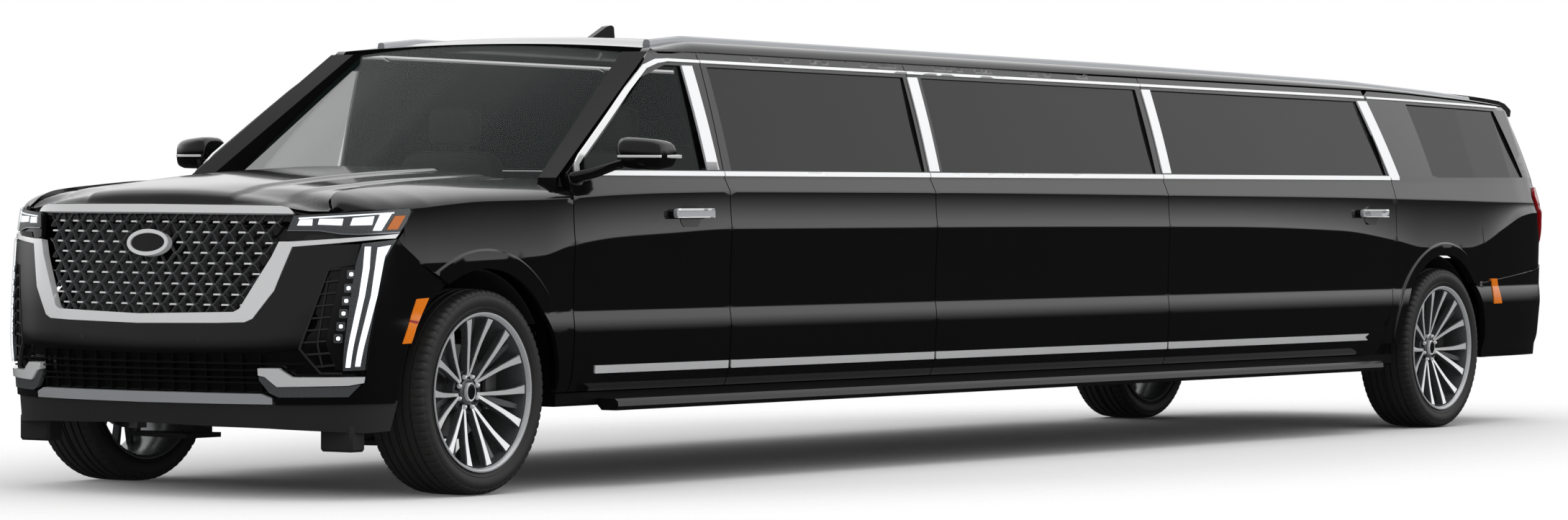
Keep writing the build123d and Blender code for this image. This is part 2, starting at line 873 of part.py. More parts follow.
fender_split = [                 # between fender and bumper, ahead of the arch
    (front_axle_x + 360, 800),
    (front_axle_x + 500, 1030),
    (front_axle_x + 452, headlamp_z[0]),
    (front_axle_x + 452, headlamp_z[1] + 4),
    (front_axle_x + 700, headlamp_z[1] + 4),
]
fender_outline = [
    (front_axle_x + 700, 1400),
    (cut_a + panel_gap / 2, 1400),
    (cut_a + panel_gap / 2, door_bottom_z),
    (front_axle_x, door_bottom_z),
] + fender_split
pillar_notch_x = cut_a + 52
pillar_notch_y = half_width - 62

with BuildPart() as fenders:
    loft(
        sections=[
            yz_face(x, fender_section(x))
            for x in (front_axle_x + 640, front_axle_x + 450, front_axle_x, cut_a)
        ],
        ruled=True,
    )
    extrude(xz_face(half_width + 50, fender_outline), amount=400, mode=Mode.INTERSECT)
    extrude(xy_face(300, whole_xy(nose_half(top_bar_z, 2) + [(cut_a, 1100), (cut_a, 0)])),
            amount=1200, mode=Mode.INTERSECT)
    add(arch_cut(front_axle_x, front_arch_radius + seat_clearance), mode=Mode.SUBTRACT)
    add(hinge_sweep(front_hinge_x), mode=Mode.SUBTRACT)
    with Locations((pillar_notch_x - 50, pillar_notch_y - 150, 1150)):
        Box(100, 300, 200, align=(Align.CENTER, Align.CENTER, Align.MIN), mode=Mode.SUBTRACT)
    mirror(about=Plane.XZ)
fenders.part.label = "fenders"
export_step(fenders.part, "parts/fenders.step")

# openings of the nose, as left halves of (y, z) outlines
grille_outline = [(0, 1116), (598, 1096), (590, 1040), (470, 742), (0, 722)]
surround_outline = [
    (0, top_bar_z),
    (628, 1124),
    (628, headlamp_z[0] - 4),
    (692, 1022),
    (520, 700),
    (0, 684),
]
side_lamp_outline = [(862, 1008), (962, 1008), (893, 505), (826, 505)]
headlamp_outline = [
    (headlamp_inner_y + 50, headlamp_z[0]),
    (half_width + 20, headlamp_z[0]),
    (half_width + 20, headlamp_z[1]),
    (headlamp_inner_y + 50, headlamp_z[1]),
]
intake_outline = [(0, 640), (560, 640), (600, 470), (0, 440)]
nose_side_cut = [
    (front_axle_x + 200, 800),
    (front_axle_x + 363, 800),
    (front_axle_x + 503, 1030),
    (front_axle_x + 503, top_bar_z + 10),
    (front_axle_x + 200, top_bar_z + 10),
]
nose_deep = 900


def through_nose(outline, rear_x):
    """Prism along the car, ahead of a station, from a (y, z) outline."""
    with BuildPart() as prism:
        extrude(yz_face(rear_x, outline), amount=nose_deep)
    return prism.part


side_lamp_space = through_nose(side_lamp_outline, front_axle_x + 506)
headlamp_space = through_nose(headlamp_outline, front_axle_x + 455)


above_bumper = [
    (0, headlamp_z[0] - seat_clearance),
    (1100, headlamp_z[0] - seat_clearance),
    (1100, 1300),
    (0, 1300),
]

with BuildPart() as front_bumper:
    add(nose_shell(0, nose_thickness))
    extrude(yz_face(nose_rear_x - 20, whole_yz(surround_outline)), amount=nose_deep,
            mode=Mode.SUBTRACT)
    extrude(yz_face(nose_rear_x - 20, whole_yz(above_bumper)),
            amount=nose_deep, mode=Mode.SUBTRACT)
    extrude(yz_face(nose_rear_x - 20, whole_yz(intake_outline)), amount=nose_deep,
            mode=Mode.SUBTRACT)
    add(side_lamp_space, mode=Mode.SUBTRACT)
    add(mirrored(side_lamp_space), mode=Mode.SUBTRACT)
    with BuildPart(mode=Mode.PRIVATE) as side_cut:
        extrude(xz_face(half_width + 50, nose_side_cut), amount=300)
    add(side_cut.part, mode=Mode.SUBTRACT)
    add(mirrored(side_cut.part), mode=Mode.SUBTRACT)
    add(arch_cut(front_axle_x, front_arch_radius + seat_clearance), mode=Mode.SUBTRACT)
    add(mirrored(arch_cut(front_axle_x, front_arch_radius + seat_clearance)), mode=Mode.SUBTRACT)
    for side in (-1, 1):
        with Locations((beam_x + beam_depth / 2 + seat_clearance, side * 670, beam_z)):
            Box(62, 60, 90, align=(Align.MIN, Align.CENTER, Align.MIN))
front_bumper.part.label = "front_bumper"
export_step(front_bumper.part, "parts/front_bumper.step")

with BuildPart() as grille_surround:
    add(nose_shell(0, nose_thickness - 25))
    extrude(yz_face(nose_rear_x - 20, whole_yz(surround_outline)), amount=nose_deep,
            mode=Mode.INTERSECT)
    extrude(yz_face(nose_rear_x - 20, whole_yz(grille_outline)), amount=nose_deep,
            mode=Mode.SUBTRACT)
grille_surround.part.label = "grille_surround"
export_step(grille_surround.part, "parts/grille_surround.step")

with BuildPart() as grille:
    add(nose_shell(14, 20))
    extrude(yz_face(nose_rear_x - 20, whole_yz(grille_outline)), amount=nose_deep,
            mode=Mode.INTERSECT)
grille.part.label = "grille"
export_step(grille.part, "parts/grille.step")

with BuildPart() as lower_grille:
    add(nose_shell(14, 20))
    extrude(yz_face(nose_rear_x - 20, whole_yz(intake_outline)), amount=nose_deep,
            mode=Mode.INTERSECT)
lower_grille.part.label = "lower_grille"
export_step(lower_grille.part, "parts/lower_grille.step")

with BuildPart() as front_lamps:
    add(nose_shell(1, 45))
    with BuildPart(mode=Mode.PRIVATE) as lamp_space:
        for space in (side_lamp_space, headlamp_space):
            add(space)
            add(mirrored(space))
    add(lamp_space.part, mode=Mode.INTERSECT)
front_lamps.part.label = "front_lamps"
export_step(front_lamps.part, "parts/front_lamps.step")

# rear bumper
rear_bumper_bottom_z = 345
bumper_rows = [                  # z, x behind the roof's end, half width
    (rear_bumper_bottom_z, -250, 935),
    (395, -345, 962),
    (560, -360, 985),
    (bumper_step_z - 6, -360, 988),
    (tail_sill_z - 8, -338, 972),
]
bumper_front_x = rear_axle_x - 320
frame_rear_x = roof_end_x - 260
bumper_corner_rows = [(0, 0), (14, 0.42), (50, 0.74), (120, 0.9), (230, 0.975)]


def bumper_ring(back, half, thickness):
    outer = [(roof_end_x + back + deep, half * wide) for deep, wide in bumper_corner_rows]
    inner = [(x + thickness, y * (1 - thickness / half)) for x, y in outer]
    outer = outer + [(bumper_front_x, half)]
    inner = inner + [(bumper_front_x, half - thickness)]
    return whole_xy(outer + list(reversed(inner)))


with BuildPart() as rear_bumper:
    loft(
        sections=[xy_face(z, bumper_ring(back, half, 50)) for z, back, half in bumper_rows],
        ruled=True,
    )
    with Locations((bumper_front_x, 0, bumper_step_z - 6)):
        Box(2 * (bumper_front_x - quarter_end_x) + 12, 2400, 400,
            align=(Align.CENTER, Align.CENTER, Align.MIN), mode=Mode.SUBTRACT)
    for side in (-1, 1):
        with Locations((frame_rear_x - seat_clearance, side * rail_y, rail_bottom_z + 10)):
            Box(40, rail_width, rail_height - 20, align=(Align.MAX, Align.CENTER, Align.MIN))
    add(arch_cut(rear_axle_x, rear_arch_radius + seat_clearance), mode=Mode.SUBTRACT)
    add(mirrored(arch_cut(rear_axle_x, rear_arch_radius + seat_clearance)), mode=Mode.SUBTRACT)
rear_bumper.part.label = "rear_bumper"
export_step(rear_bumper.part, "parts/rear_bumper.step")

# ---------------------------------------------------------------- windshield
cowl_z = (1175, 1205)
cabin_floor_z = floor_z + floor_thickness
firewall_x = (cut_a + 62, cut_a + 80)        # rear and front face
pillar_levels = {                # z: outer front, door return, outer rear, inner rear, inner front
    cowl_z[0]: [(50, -65), (34, -108), (-15, -112), (-75, -200), (34, -180)],
    1262: [(50, -65), (42, -106), (-30, -112), (-110, -195), (36, -168)],
    1790: [(-747, -187), (-751, -242), (-815, -247), (-835, -328), (-740, -314)],
}                                # each y is from the widest crease
windshield_low = [(198, 0), (150, 400), (40, half_width - 330), (-22, half_width - 194)]
windshield_high = [(-762, 0), (-768, 400), (-776, half_width - 390), (-783, half_width - 326)]
windshield_depth = 9             # thickness measured along the car
rail_end_z = window_top_at(roof_front_x)
windshield_top_z = 1788

with BuildPart() as windshield_frame:
    loft(
        sections=[
            xy_face(z, [(cut_a + x, half_width + y) for x, y in corners])
            for z, corners in pillar_levels.items()
        ],
        ruled=True,
    )
    with Locations((roof_front_x + seat_clearance, half_width, rail_end_z - seat_clearance)):
        Box(200, 700, 200, align=(Align.MAX, Align.CENTER, Align.MIN), mode=Mode.SUBTRACT)
    mirror(about=Plane.XZ)
    # cowl and firewall
    cowl_outline = [
        (cut_a + 215, 0),
        (cut_a + 172, 400),
        (cut_a + 95, 640),
        (cut_a + 50, 800),
        (cut_a + 50, 868),
        (cut_a - 30, 868),
        (cut_a - 100, 800),
        (cut_a - 60, 600),
        (cut_a + 20, 0),
    ]
    extrude(xy_face(cowl_z[0], whole_xy(cowl_outline)), amount=cowl_z[1] - cowl_z[0])
    with Locations(((firewall_x[0] + firewall_x[1]) / 2, 0, cabin_floor_z + seat_clearance)):
        Box(
            firewall_x[1] - firewall_x[0],
            2 * 868,
            cowl_z[1] - cabin_floor_z - seat_clearance,
            align=(Align.CENTER, Align.CENTER, Align.MIN),
        )
    for side in (-1, 1):
        with Locations((hood_hinge_x, side * hood_hinge_y, hood_hinge_z)):
            Cylinder(hood_barrel_radius, hood_barrel_length, rotation=(90, 0, 0))
        with Locations((hood_hinge_x, side * hood_hinge_y, hood_hinge_z)):
            Box(14, hood_barrel_length, hood_hinge_z - cowl_z[1] + 1,
                align=(Align.CENTER, Align.CENTER, Align.MAX))
        with Locations((hood_hinge_x, side * hood_hinge_y, hood_hinge_z)):
            Cylinder(
                hood_pin_radius + hinge_pin_clearance,
                hood_barrel_length + 40,
                rotation=(90, 0, 0),
                mode=Mode.SUBTRACT,
            )
windshield_frame.part.label = "windshield_frame"
export_step(windshield_frame.part, "parts/windshield_frame.step")


def windshield_ring(points):
    front = [(cut_a + x, y) for x, y in points]
    rear = [(cut_a + x - windshield_depth, y) for x, y in points]
    return whole_xy(front + list(reversed(rear)))


with BuildPart() as windshield:
    loft(
        sections=[
            xy_face(cowl_z[1] + seat_clearance, windshield_ring(windshield_low)),
            xy_face(windshield_top_z, windshield_ring(windshield_high)),
        ],
        ruled=True,
    )
windshield.part.label = "windshield"
export_step(windshield.part, "parts/windshield.step")

# ---------------------------------------------------------------- cabin frame and floor
sill_front_x = firewall_x[0] - seat_clearance
sill_rear_x = rear_axle_x + rear_arch_radius + 8
sill_lip_y = half_width - 58


def pillar_section(x):
    """Upper pillar under the window frames, from the post up to the roof rail."""
    inset, window_top, _, _, _ = at_station(body_rows, x)
    wall = half_width - inset - panel_gap - seat_clearance
    top = window_top - seat_clearance
    outer = [
        (post_y, 1100),
        (post_y, belt_z - 40),
        (wall - 94, belt_z),
        (wall - frame_lean - frame_depth, top),
    ]
    inner = [(y - pillar_thickness, z) for y, z in reversed(outer)]
    return outer + inner


# posts: front and rear faces of the post, then of its upper pillar, hinged or not
post_rows = [
    (firewall_x[0] - seat_clearance, cut_a - 125, None, None, front_hinge_x),
    (cut_b + 70, cut_b - 50, cut_b + 60, cut_b - 50, None),
    (cut_c + 30, cut_c - 100, cut_c + 25, cut_c - 100, None),
    (cut_d + 50, cut_d - 120, cut_d + 50, cut_d + 2, rear_hinge_x),
    (cut_e + 30, cut_e - 45, cut_e + 30, cut_e - 45, None),
]

with BuildPart() as cabin_frame:
    # sills
    with BuildSketch(Plane(origin=(sill_rear_x, 0, 0), x_dir=(0, 1, 0), z_dir=(1, 0, 0))):
        with BuildLine():
            Polyline(
                (sill_inner_y, sill_bottom_z),
                (sill_lip_y - 8, sill_bottom_z),
                (sill_lip_y, sill_bottom_z + 8),
                (sill_lip_y, door_bottom_z - panel_gap),
                (post_y, door_bottom_z - panel_gap),
                (post_y, sill_top_z),
                (sill_inner_y, sill_top_z),
                close=True,
            )
        make_face()
    extrude(amount=sill_front_x - sill_rear_x)
    for front_x, rear_x, upper_front_x, upper_rear_x, _ in post_rows:
        top_z = cowl_z[0] - seat_clearance if upper_front_x is None else belt_z - 60
        with Locations(((front_x + rear_x) / 2, post_y - pillar_thickness / 2, sill_top_z - 1)):
            Box(
                front_x - rear_x,
                pillar_thickness,
                top_z - sill_top_z + 1,
                align=(Align.CENTER, Align.CENTER, Align.MIN),
            )
        if upper_front_x is not None:
            loft(
                sections=[yz_face(x, pillar_section(x)) for x in (upper_front_x, upper_rear_x)],
                ruled=True,
            )
    for hinge_x in (front_hinge_x, rear_hinge_x):
        for height in hinge_heights:
            with Locations((hinge_x, (post_y + hinge_y) / 2, height)):
                Box(20, hinge_y - post_y + 0.01, 50)
            with Locations((hinge_x, hinge_y, height)):
                Cylinder(hinge_barrel_radius, 50)
                Cylinder(hinge_pin_radius + hinge_pin_clearance, 52, mode=Mode.SUBTRACT)
    add(arch_cut(rear_axle_x, rear_arch_radius + seat_clearance), mode=Mode.SUBTRACT)
    mirror(about=Plane.XZ)
cabin_frame.part.label = "cabin_frame"
export_step(cabin_frame.part, "parts/cabin_frame.step")

front_well_y = (501, 952)        # inner and outer edge of the wheel housings
rear_well_y = (678, 940)
floor_rear_x = roof_end_x + 60
with BuildPart() as floor_pan:
    with Locations(((firewall_x[1] + floor_rear_x) / 2, 0, floor_z + seat_clearance)):
        Box(
            firewall_x[1] - floor_rear_x,
            2 * (sill_inner_y - seat_clearance),
            floor_thickness - seat_clearance,
            align=(Align.CENTER, Align.CENTER, Align.MIN),
        )
    for side in (-1, 1):
        with Locations((rear_axle_x, side * 840, wheel_z)):
            Cylinder(
                rear_arch_radius + seat_clearance,
                2 * (840 - rear_well_y[0] + seat_clearance),
                rotation=(90, 0, 0),
                mode=Mode.SUBTRACT,
            )
floor_pan.part.label = "floor_pan"
export_step(floor_pan.part, "parts/floor_pan.step")

# ---------------------------------------------------------------- chassis
rail_inner_y = rail_y - rail_width / 2
rail_outer_y = rail_y + rail_width / 2
rail_top_z = rail_bottom_z + rail_height
frame_front_x = beam_x
cross_members = 9
cross_width = 60
outriggers = 6
with BuildPart() as ladder_frame:
    for side in (-1, 1):
        with Locations(((frame_front_x + frame_rear_x) / 2, side * rail_y, rail_bottom_z)):
            Box(
                frame_front_x - frame_rear_x,
                rail_width,
                rail_height,
                align=(Align.CENTER, Align.CENTER, Align.MIN),
            )
    first_cross_x = front_axle_x - 1150
    last_cross_x = frame_rear_x + 40
    for number in range(cross_members):
        x = first_cross_x + (last_cross_x - first_cross_x) * number / (cross_members - 1)
        with Locations((x, 0, rail_bottom_z)):
            Box(cross_width, 2 * rail_inner_y + 2, rail_height - 40,
                align=(Align.CENTER, Align.CENTER, Align.MIN))
    with Locations((beam_x, 0, beam_z)):
        Box(beam_depth, 2 * 710, 90, align=(Align.CENTER, Align.CENTER, Align.MIN))
    # outriggers carry the sills
    for number in range(outriggers):
        x = sill_front_x - 300 - (sill_front_x - sill_rear_x - 700) * number / (outriggers - 1)
        for side in (-1, 1):
            y_far = sill_inner_y - seat_clearance
            with Locations((x, side * (rail_y + y_far) / 2, rail_bottom_z + 20)):
                Box(70, y_far - rail_y, 60, align=(Align.CENTER, Align.CENTER, Align.MIN))
    for x in (front_axle_x - 1000, rear_axle_x + 900):
        for side in (-1, 1):
            with Locations((x, side * rail_y, rail_bottom_z + 1)):
                Box(jack_pad[0], jack_pad[1], jack_pad[2] + 1,
                    align=(Align.CENTER, Align.CENTER, Align.MAX))
ladder_frame.part.label = "ladder_frame"
export_step(ladder_frame.part, "parts/ladder_frame.step")

with BuildPart() as wheel_wells:
    for x, radius, (inner_y, outer_y), low_z in (
        (front_axle_x, front_arch_radius, front_well_y, wheel_z + 262),
        (rear_axle_x, rear_arch_radius, rear_well_y, floor_z),
    ):
        with Locations((x, (inner_y + outer_y) / 2, wheel_z)):
            Cylinder(radius, outer_y - inner_y, rotation=(90, 0, 0))
        with Locations((x, (inner_y + well_wall + outer_y) / 2 + 1, wheel_z)):
            Cylinder(
                radius - well_wall, outer_y - inner_y - well_wall + 2, rotation=(90, 0, 0),
                mode=Mode.SUBTRACT,
            )
        with Locations((x, (inner_y + outer_y) / 2, low_z - 900)):
            Box(1100, 700, 900, align=(Align.CENTER, Align.CENTER, Align.MIN), mode=Mode.SUBTRACT)
    mirror(about=Plane.XZ)
wheel_wells.part.label = "wheel_wells"
export_step(wheel_wells.part, "parts/wheel_wells.step")

board_width = 115
board_x = (cut_a - 215, rear_axle_x + 790)
with BuildPart() as running_boards:
    inner_y = sill_lip_y + seat_clearance
    outer_y = inner_y + board_width
    extrude(
        yz_face(
            board_x[1],
            [
                (inner_y, 345),
                (inner_y, 363),
                (outer_y - 18, 363),
                (outer_y - 3, 352),
                (outer_y, 332),
                (outer_y - 12, 315),
                (inner_y + 30, 315),
            ],
        ),
        amount=board_x[0] - board_x[1],
    )
    mirror(about=Plane.XZ)
running_boards.part.label = "running_boards"
export_step(running_boards.part, "parts/running_boards.step")

engine_half = 280
with BuildPart() as engine_block:
    with Locations((front_axle_x - 20, 0, 470)):
        Box(680, 2 * engine_half, 500, align=(Align.CENTER, Align.CENTER, Align.MIN))
    with Locations((front_axle_x - 20, 0, 540)):
        Box(160, 2 * (rail_inner_y - seat_clearance), 50,
            align=(Align.CENTER, Align.CENTER, Align.MIN))
    with Locations((front_axle_x - 700, 0, 400)):
        Box(700, 260, 190, align=(Align.CENTER, Align.CENTER, Align.MIN))
engine_block.part.label = "engine_block"
export_step(engine_block.part, "parts/engine_block.step")

# ---------------------------------------------------------------- wheels
bead_radius = 305
barrel_wall = 12
hub_face_y = 62                  # outer face of the hub, outboard of the wheel's middle
spoke_pairs = 7
hub_bore_radius = 32
spindle_radius = 31.5
disc_radius = 190
disc_thickness = 20
disc_y = -12                     # brake disc, from the wheel's middle


def wheel_plane(x, y):
    """Plane across a left wheel, looking outward."""
    return Plane(origin=(x, y, wheel_z), x_dir=(1, 0, 0), z_dir=(0, 1, 0))


tyre_profile = [                 # (distance from the wheel's middle, radius)
    (-rim_width / 2, bead_radius + seat_clearance),
    (-rim_width / 2 + 3, 325),
    (-tyre_width / 2, 356),
    (-tyre_width / 2 + 4, 388),
    (-tyre_width / 2 + 22, tyre_radius - 4),
    (-tyre_width / 2 + 60, tyre_radius),
    (tyre_width / 2 - 60, tyre_radius),
    (tyre_width / 2 - 22, tyre_radius - 4),
    (tyre_width / 2 - 4, 388),
    (tyre_width / 2, 356),
    (rim_width / 2 - 3, 325),
    (rim_width / 2, bead_radius + seat_clearance),
]
rim_profile = [
    (-rim_width / 2 - 10, rim_lip_radius),
    (-rim_width / 2, rim_lip_radius),
    (-rim_width / 2, bead_radius),
    (rim_width / 2, bead_radius),
    (rim_width / 2, rim_lip_radius),
    (rim_width / 2 + 10, rim_lip_radius),
    (rim_width / 2 + 10, bead_radius - 2),
    (rim_width / 2 - 8, bead_radius - barrel_wall),
    (-rim_width / 2 - 10, bead_radius - barrel_wall),
]


def turned(profile, x):
    """Ring about a left wheel's axle from (distance outward, radius) corners."""
    with BuildPart() as ring:
        with BuildSketch(Plane.XY):
            with BuildLine():
                Polyline(*[(x + radius, wheel_y + out) for out, radius in profile], close=True)
            make_face()
        revolve(axis=Axis((x, 0, 0), (0, 1, 0)))
    return ring.part.moved(Location((0, 0, wheel_z)))


def rim_at(x):
    """Left rim with twin spokes, hub and brake disc."""
    with BuildPart() as wheel:
        add(turned(rim_profile, x))
        add(turned([(hub_face_y - 40, 0), (hub_face_y - 40, 92), (hub_face_y, 86), (hub_face_y, 0)], x))
        add(turned([(disc_y - 10, 60), (disc_y - 10, disc_radius), (disc_y + 10, disc_radius),
                    (disc_y + 10, 84), (hub_face_y - 38, 84), (hub_face_y - 38, 60)], x))
        with BuildSketch(wheel_plane(x, wheel_y + hub_face_y + 18)):
            with PolarLocations((0, 0), spoke_pairs):
                for lean in (-1, 1):
                    with BuildLine():
                        Polyline(
                            (60, lean * 4),
                            (60, lean * 16),
                            (180, lean * 38),
                            (289, lean * 83),
                            (286, lean * 56),
                            (180, lean * 24),
                            close=True,
                        )
                    make_face()
        extrude(amount=-34)
        with BuildSketch(wheel_plane(x, wheel_y + hub_face_y - 4)):
            with PolarLocations((0, 0), spoke_pairs, start_angle=180 / spoke_pairs):
                with Locations((180, 0)):
                    Rectangle(232, 20)
        extrude(amount=-26)
        with BuildSketch(wheel_plane(x, wheel_y - 60)):
            Circle(hub_bore_radius)
        extrude(amount=60 + hub_face_y - 14, mode=Mode.SUBTRACT)
    return wheel.part


front_tyre = turned(tyre_profile, front_axle_x)
rear_tyre = turned(tyre_profile, rear_axle_x)
front_rim = rim_at(front_axle_x)
rear_rim = rim_at(rear_axle_x)
wheel_parts = {
    "front_tyre_left": front_tyre,
    "front_tyre_right": mirrored(front_tyre),
    "rear_tyre_left": rear_tyre,
    "rear_tyre_right": mirrored(rear_tyre),
    "front_rim_left": front_rim,
    "front_rim_right": mirrored(front_rim),
    "rear_rim_left": rear_rim,
    "rear_rim_right": mirrored(rear_rim),
}
for name, piece in wheel_parts.items():
    piece.label = name
    export_step(piece, f"parts/{name}.step")

# ---------------------------------------------------------------- axles and knuckles
knuckle_half = 190               # upright above and below the axle
arm_thickness = 20
arm_gap = 12
kingpin_radius = 12
spindle_end_y = wheel_y + hub_face_y - 24
caliper_x = (-238, -168)
caliper_z = 75


def caliper(x, inner_y):
    """Brake caliper round the disc, with its bracket to a carrier at inner_y."""
    disc_mid = wheel_y + disc_y
    with BuildPart() as piece:
        with Locations((x + (caliper_x[0] + caliper_x[1]) / 2, disc_mid, wheel_z)):
            Box(caliper_x[1] - caliper_x[0], 62, 2 * caliper_z)
        with Locations((x, disc_mid, wheel_z)):
            Cylinder(disc_radius + 5, disc_thickness + 10, rotation=(90, 0, 0), mode=Mode.SUBTRACT)
        with Locations((x + (caliper_x[0] + 20) / 2, (inner_y + disc_mid - 26) / 2, wheel_z)):
            Box(20 - caliper_x[0], disc_mid - 26 - inner_y, 60)
    return piece.part


with BuildPart() as front_knuckle_left:
    with Locations((front_axle_x, kingpin_y, wheel_z)):
        Box(60, 44, 2 * knuckle_half)
        Cylinder(kingpin_radius, 2 * (knuckle_half + arm_gap + arm_thickness))
    with Locations((front_axle_x, (kingpin_y + spindle_end_y) / 2, wheel_z)):
        Cylinder(spindle_radius, spindle_end_y - kingpin_y, rotation=(90, 0, 0))
    add(caliper(front_axle_x, kingpin_y))
front_knuckle_left.part.label = "front_knuckle_left"
export_step(front_knuckle_left.part, "parts/front_knuckle_left.step")

upper_arm_z = wheel_z + knuckle_half + arm_gap
lower_arm_z = wheel_z - knuckle_half - arm_gap - arm_thickness
tower_half = 60
with BuildPart() as front_suspension:
    for arm_z in (upper_arm_z, lower_arm_z):
        with BuildSketch(Plane.XY.offset(arm_z)):
            with BuildLine():
                Polyline(
                    (front_axle_x + 110, rail_inner_y + 5),
                    (front_axle_x + 26, kingpin_y + 20),
                    (front_axle_x - 26, kingpin_y + 20),
                    (front_axle_x - 110, rail_inner_y + 5),
                    close=True,
                )
            make_face()
            with Locations((front_axle_x, kingpin_y)):
                Circle(kingpin_radius + hinge_pin_clearance, mode=Mode.SUBTRACT)
        extrude(amount=arm_thickness)
    with Locations((front_axle_x, rail_y, rail_top_z + seat_clearance)):
        Box(2 * tower_half, rail_width - 20, upper_arm_z + arm_thickness - rail_top_z - seat_clearance,
            align=(Align.CENTER, Align.CENTER, Align.MIN))
    with Locations((front_axle_x, rail_y, lower_arm_z)):
        Box(2 * tower_half, rail_width - 20, rail_bottom_z - seat_clearance - lower_arm_z,
            align=(Align.CENTER, Align.CENTER, Align.MIN))
    mirror(about=Plane.XZ)
    # cross tube that joins the two lower arms, and the steering rack ahead of it
    with Locations((front_axle_x, 0, lower_arm_z + 80)):
        Box(90, 2 * rail_y, 60)
    with Locations((front_axle_x + 30, 0, lower_arm_z + 130)):
        Cylinder(28, 2 * rail_y, rotation=(90, 0, 0))
front_suspension.part.label = "front_suspension"
export_step(front_suspension.part, "parts/front_suspension.step")

axle_tube_radius = 45
with BuildPart() as rear_axle:
    with Locations((rear_axle_x, 0, wheel_z)):
        Cylinder(axle_tube_radius, 2 * 790, rotation=(90, 0, 0))
        Cylinder(spindle_radius, 2 * spindle_end_y, rotation=(90, 0, 0))
        Cylinder(150, 170, rotation=(90, 0, 0))
    add(caliper(rear_axle_x, 740))
    add(mirrored(caliper(rear_axle_x, 740)))
    for side in (-1, 1):
        with Locations((rear_axle_x, side * rail_y, wheel_z)):
            Box(110, rail_width - 10, rail_bottom_z - seat_clearance - wheel_z,
                align=(Align.CENTER, Align.CENTER, Align.MIN))
rear_axle.part.label = "rear_axle"
export_step(rear_axle.part, "parts/rear_axle.step")

shaft_radius = 40
shaft_front_x = front_axle_x - 1050
shaft_rear_x = rear_axle_x + 150
with BuildPart() as drive_shaft:
    with Locations(((shaft_front_x + shaft_rear_x) / 2, 0, wheel_z + 30)):
        Cylinder(shaft_radius, shaft_front_x - shaft_rear_x - 1, rotation=(0, 90, 0))
    for number in range(1, cross_members - 2):
        x = first_cross_x + (last_cross_x - first_cross_x) * number / (cross_members - 1)
        if x > shaft_rear_x + 60:
            with Locations((x, 0, wheel_z + 30)):
                Box(40, 50, rail_bottom_z - seat_clearance - wheel_z - 30,
                    align=(Align.CENTER, Align.CENTER, Align.MIN))
drive_shaft.part.label = "drive_shaft"
export_step(drive_shaft.part, "parts/drive_shaft.step")

pipe_radius = 33
pipe_y = -250
muffler_x = rear_axle_x + 1500
with BuildPart() as exhaust:
    with Locations(((front_axle_x - 500 + rear_axle_x + 700) / 2, pipe_y,
                    rail_bottom_z - seat_clearance - pipe_radius)):
        Cylinder(pipe_radius, front_axle_x - 500 - rear_axle_x - 700, rotation=(0, 90, 0))
    with Locations((muffler_x, pipe_y, rail_bottom_z - 6 - 120)):
        Box(620, 260, 120, align=(Align.CENTER, Align.CENTER, Align.MIN))
exhaust.part.label = "exhaust"
export_step(exhaust.part, "parts/exhaust.step")

with BuildPart() as fuel_tank:
    with Locations((rear_axle_x + 1500, (80 + rail_inner_y - seat_clearance) / 2, 400)):
        Box(900, rail_inner_y - seat_clearance - 80, 86,
            align=(Align.CENTER, Align.CENTER, Align.MIN))
    with Locations((rear_axle_x + 1500, rail_inner_y - seat_clearance - 10, 470)):
        Box(120, 20, 60, align=(Align.CENTER, Align.CENTER, Align.MIN))
fuel_tank.part.label = "fuel_tank"
export_step(fuel_tank.part, "parts/fuel_tank.step")

# ---------------------------------------------------------------- cabin
seat_y = 420
seat_half = 265
seat_x = cut_a - 780             # middle of a front cushion
seat_tops = (760, 900)           # plinth and cushion
backrest_top_z = 1370
headrest_z = (1385, 1560)
dashboard_half = half_width - 195
with BuildPart() as dashboard:
    with BuildSketch(Plane(origin=(0, dashboard_half, 0), x_dir=(1, 0, 0), z_dir=(0, -1, 0))):
        with BuildLine():
            Polyline(
                (firewall_x[0] - seat_clearance, 860),
                (firewall_x[0] - seat_clearance, 1160),
                (cut_a - 40, 1168),
                (cut_a - 230, 1130),
                (cut_a - 290, 1060),
                (cut_a - 180, 860),
                close=True,
            )
        make_face()
    extrude(amount=2 * dashboard_half)
dashboard.part.label = "dashboard"
export_step(dashboard.part, "parts/dashboard.step")

steering_radius = 185
steering_tube = 15
steering_centre = (cut_a - 440, seat_y, 1085)
steering_tilt = 62               # degrees from level
with BuildPart() as steering_wheel:
    rim_plane = Plane(
        origin=steering_centre,
        x_dir=(0, 1, 0),
        z_dir=(-sin(radians(steering_tilt)), 0, cos(radians(steering_tilt))),
    )
    with BuildSketch(rim_plane):
        Circle(steering_radius)
        Circle(steering_radius - 2 * steering_tube, mode=Mode.SUBTRACT)
        Rectangle(2 * steering_radius - 20, 40)
        with Locations((0, -80)):
            Rectangle(36, 170)
        Circle(60)
    extrude(amount=24)
    with BuildSketch(rim_plane):
        Circle(26)
    extrude(amount=-330)
    add(dashboard.part, mode=Mode.SUBTRACT)
steering_wheel.part.label = "steering_wheel"
export_step(steering_wheel.part, "parts/steering_wheel.step")


def seat_profile(x):
    """Side outline of a front seat: cushion, backrest and headrest."""
    return [
        (x + 250, cabin_floor_z + seat_clearance),
        (x + 270, seat_tops[0]),
        (x + 280, seat_tops[1]),
        (x - 130, seat_tops[1] - 30),
        (x - 260, backrest_top_z),
        (x - 340, backrest_top_z + 10),
        (x - 300, cabin_floor_z + seat_clearance),
    ]


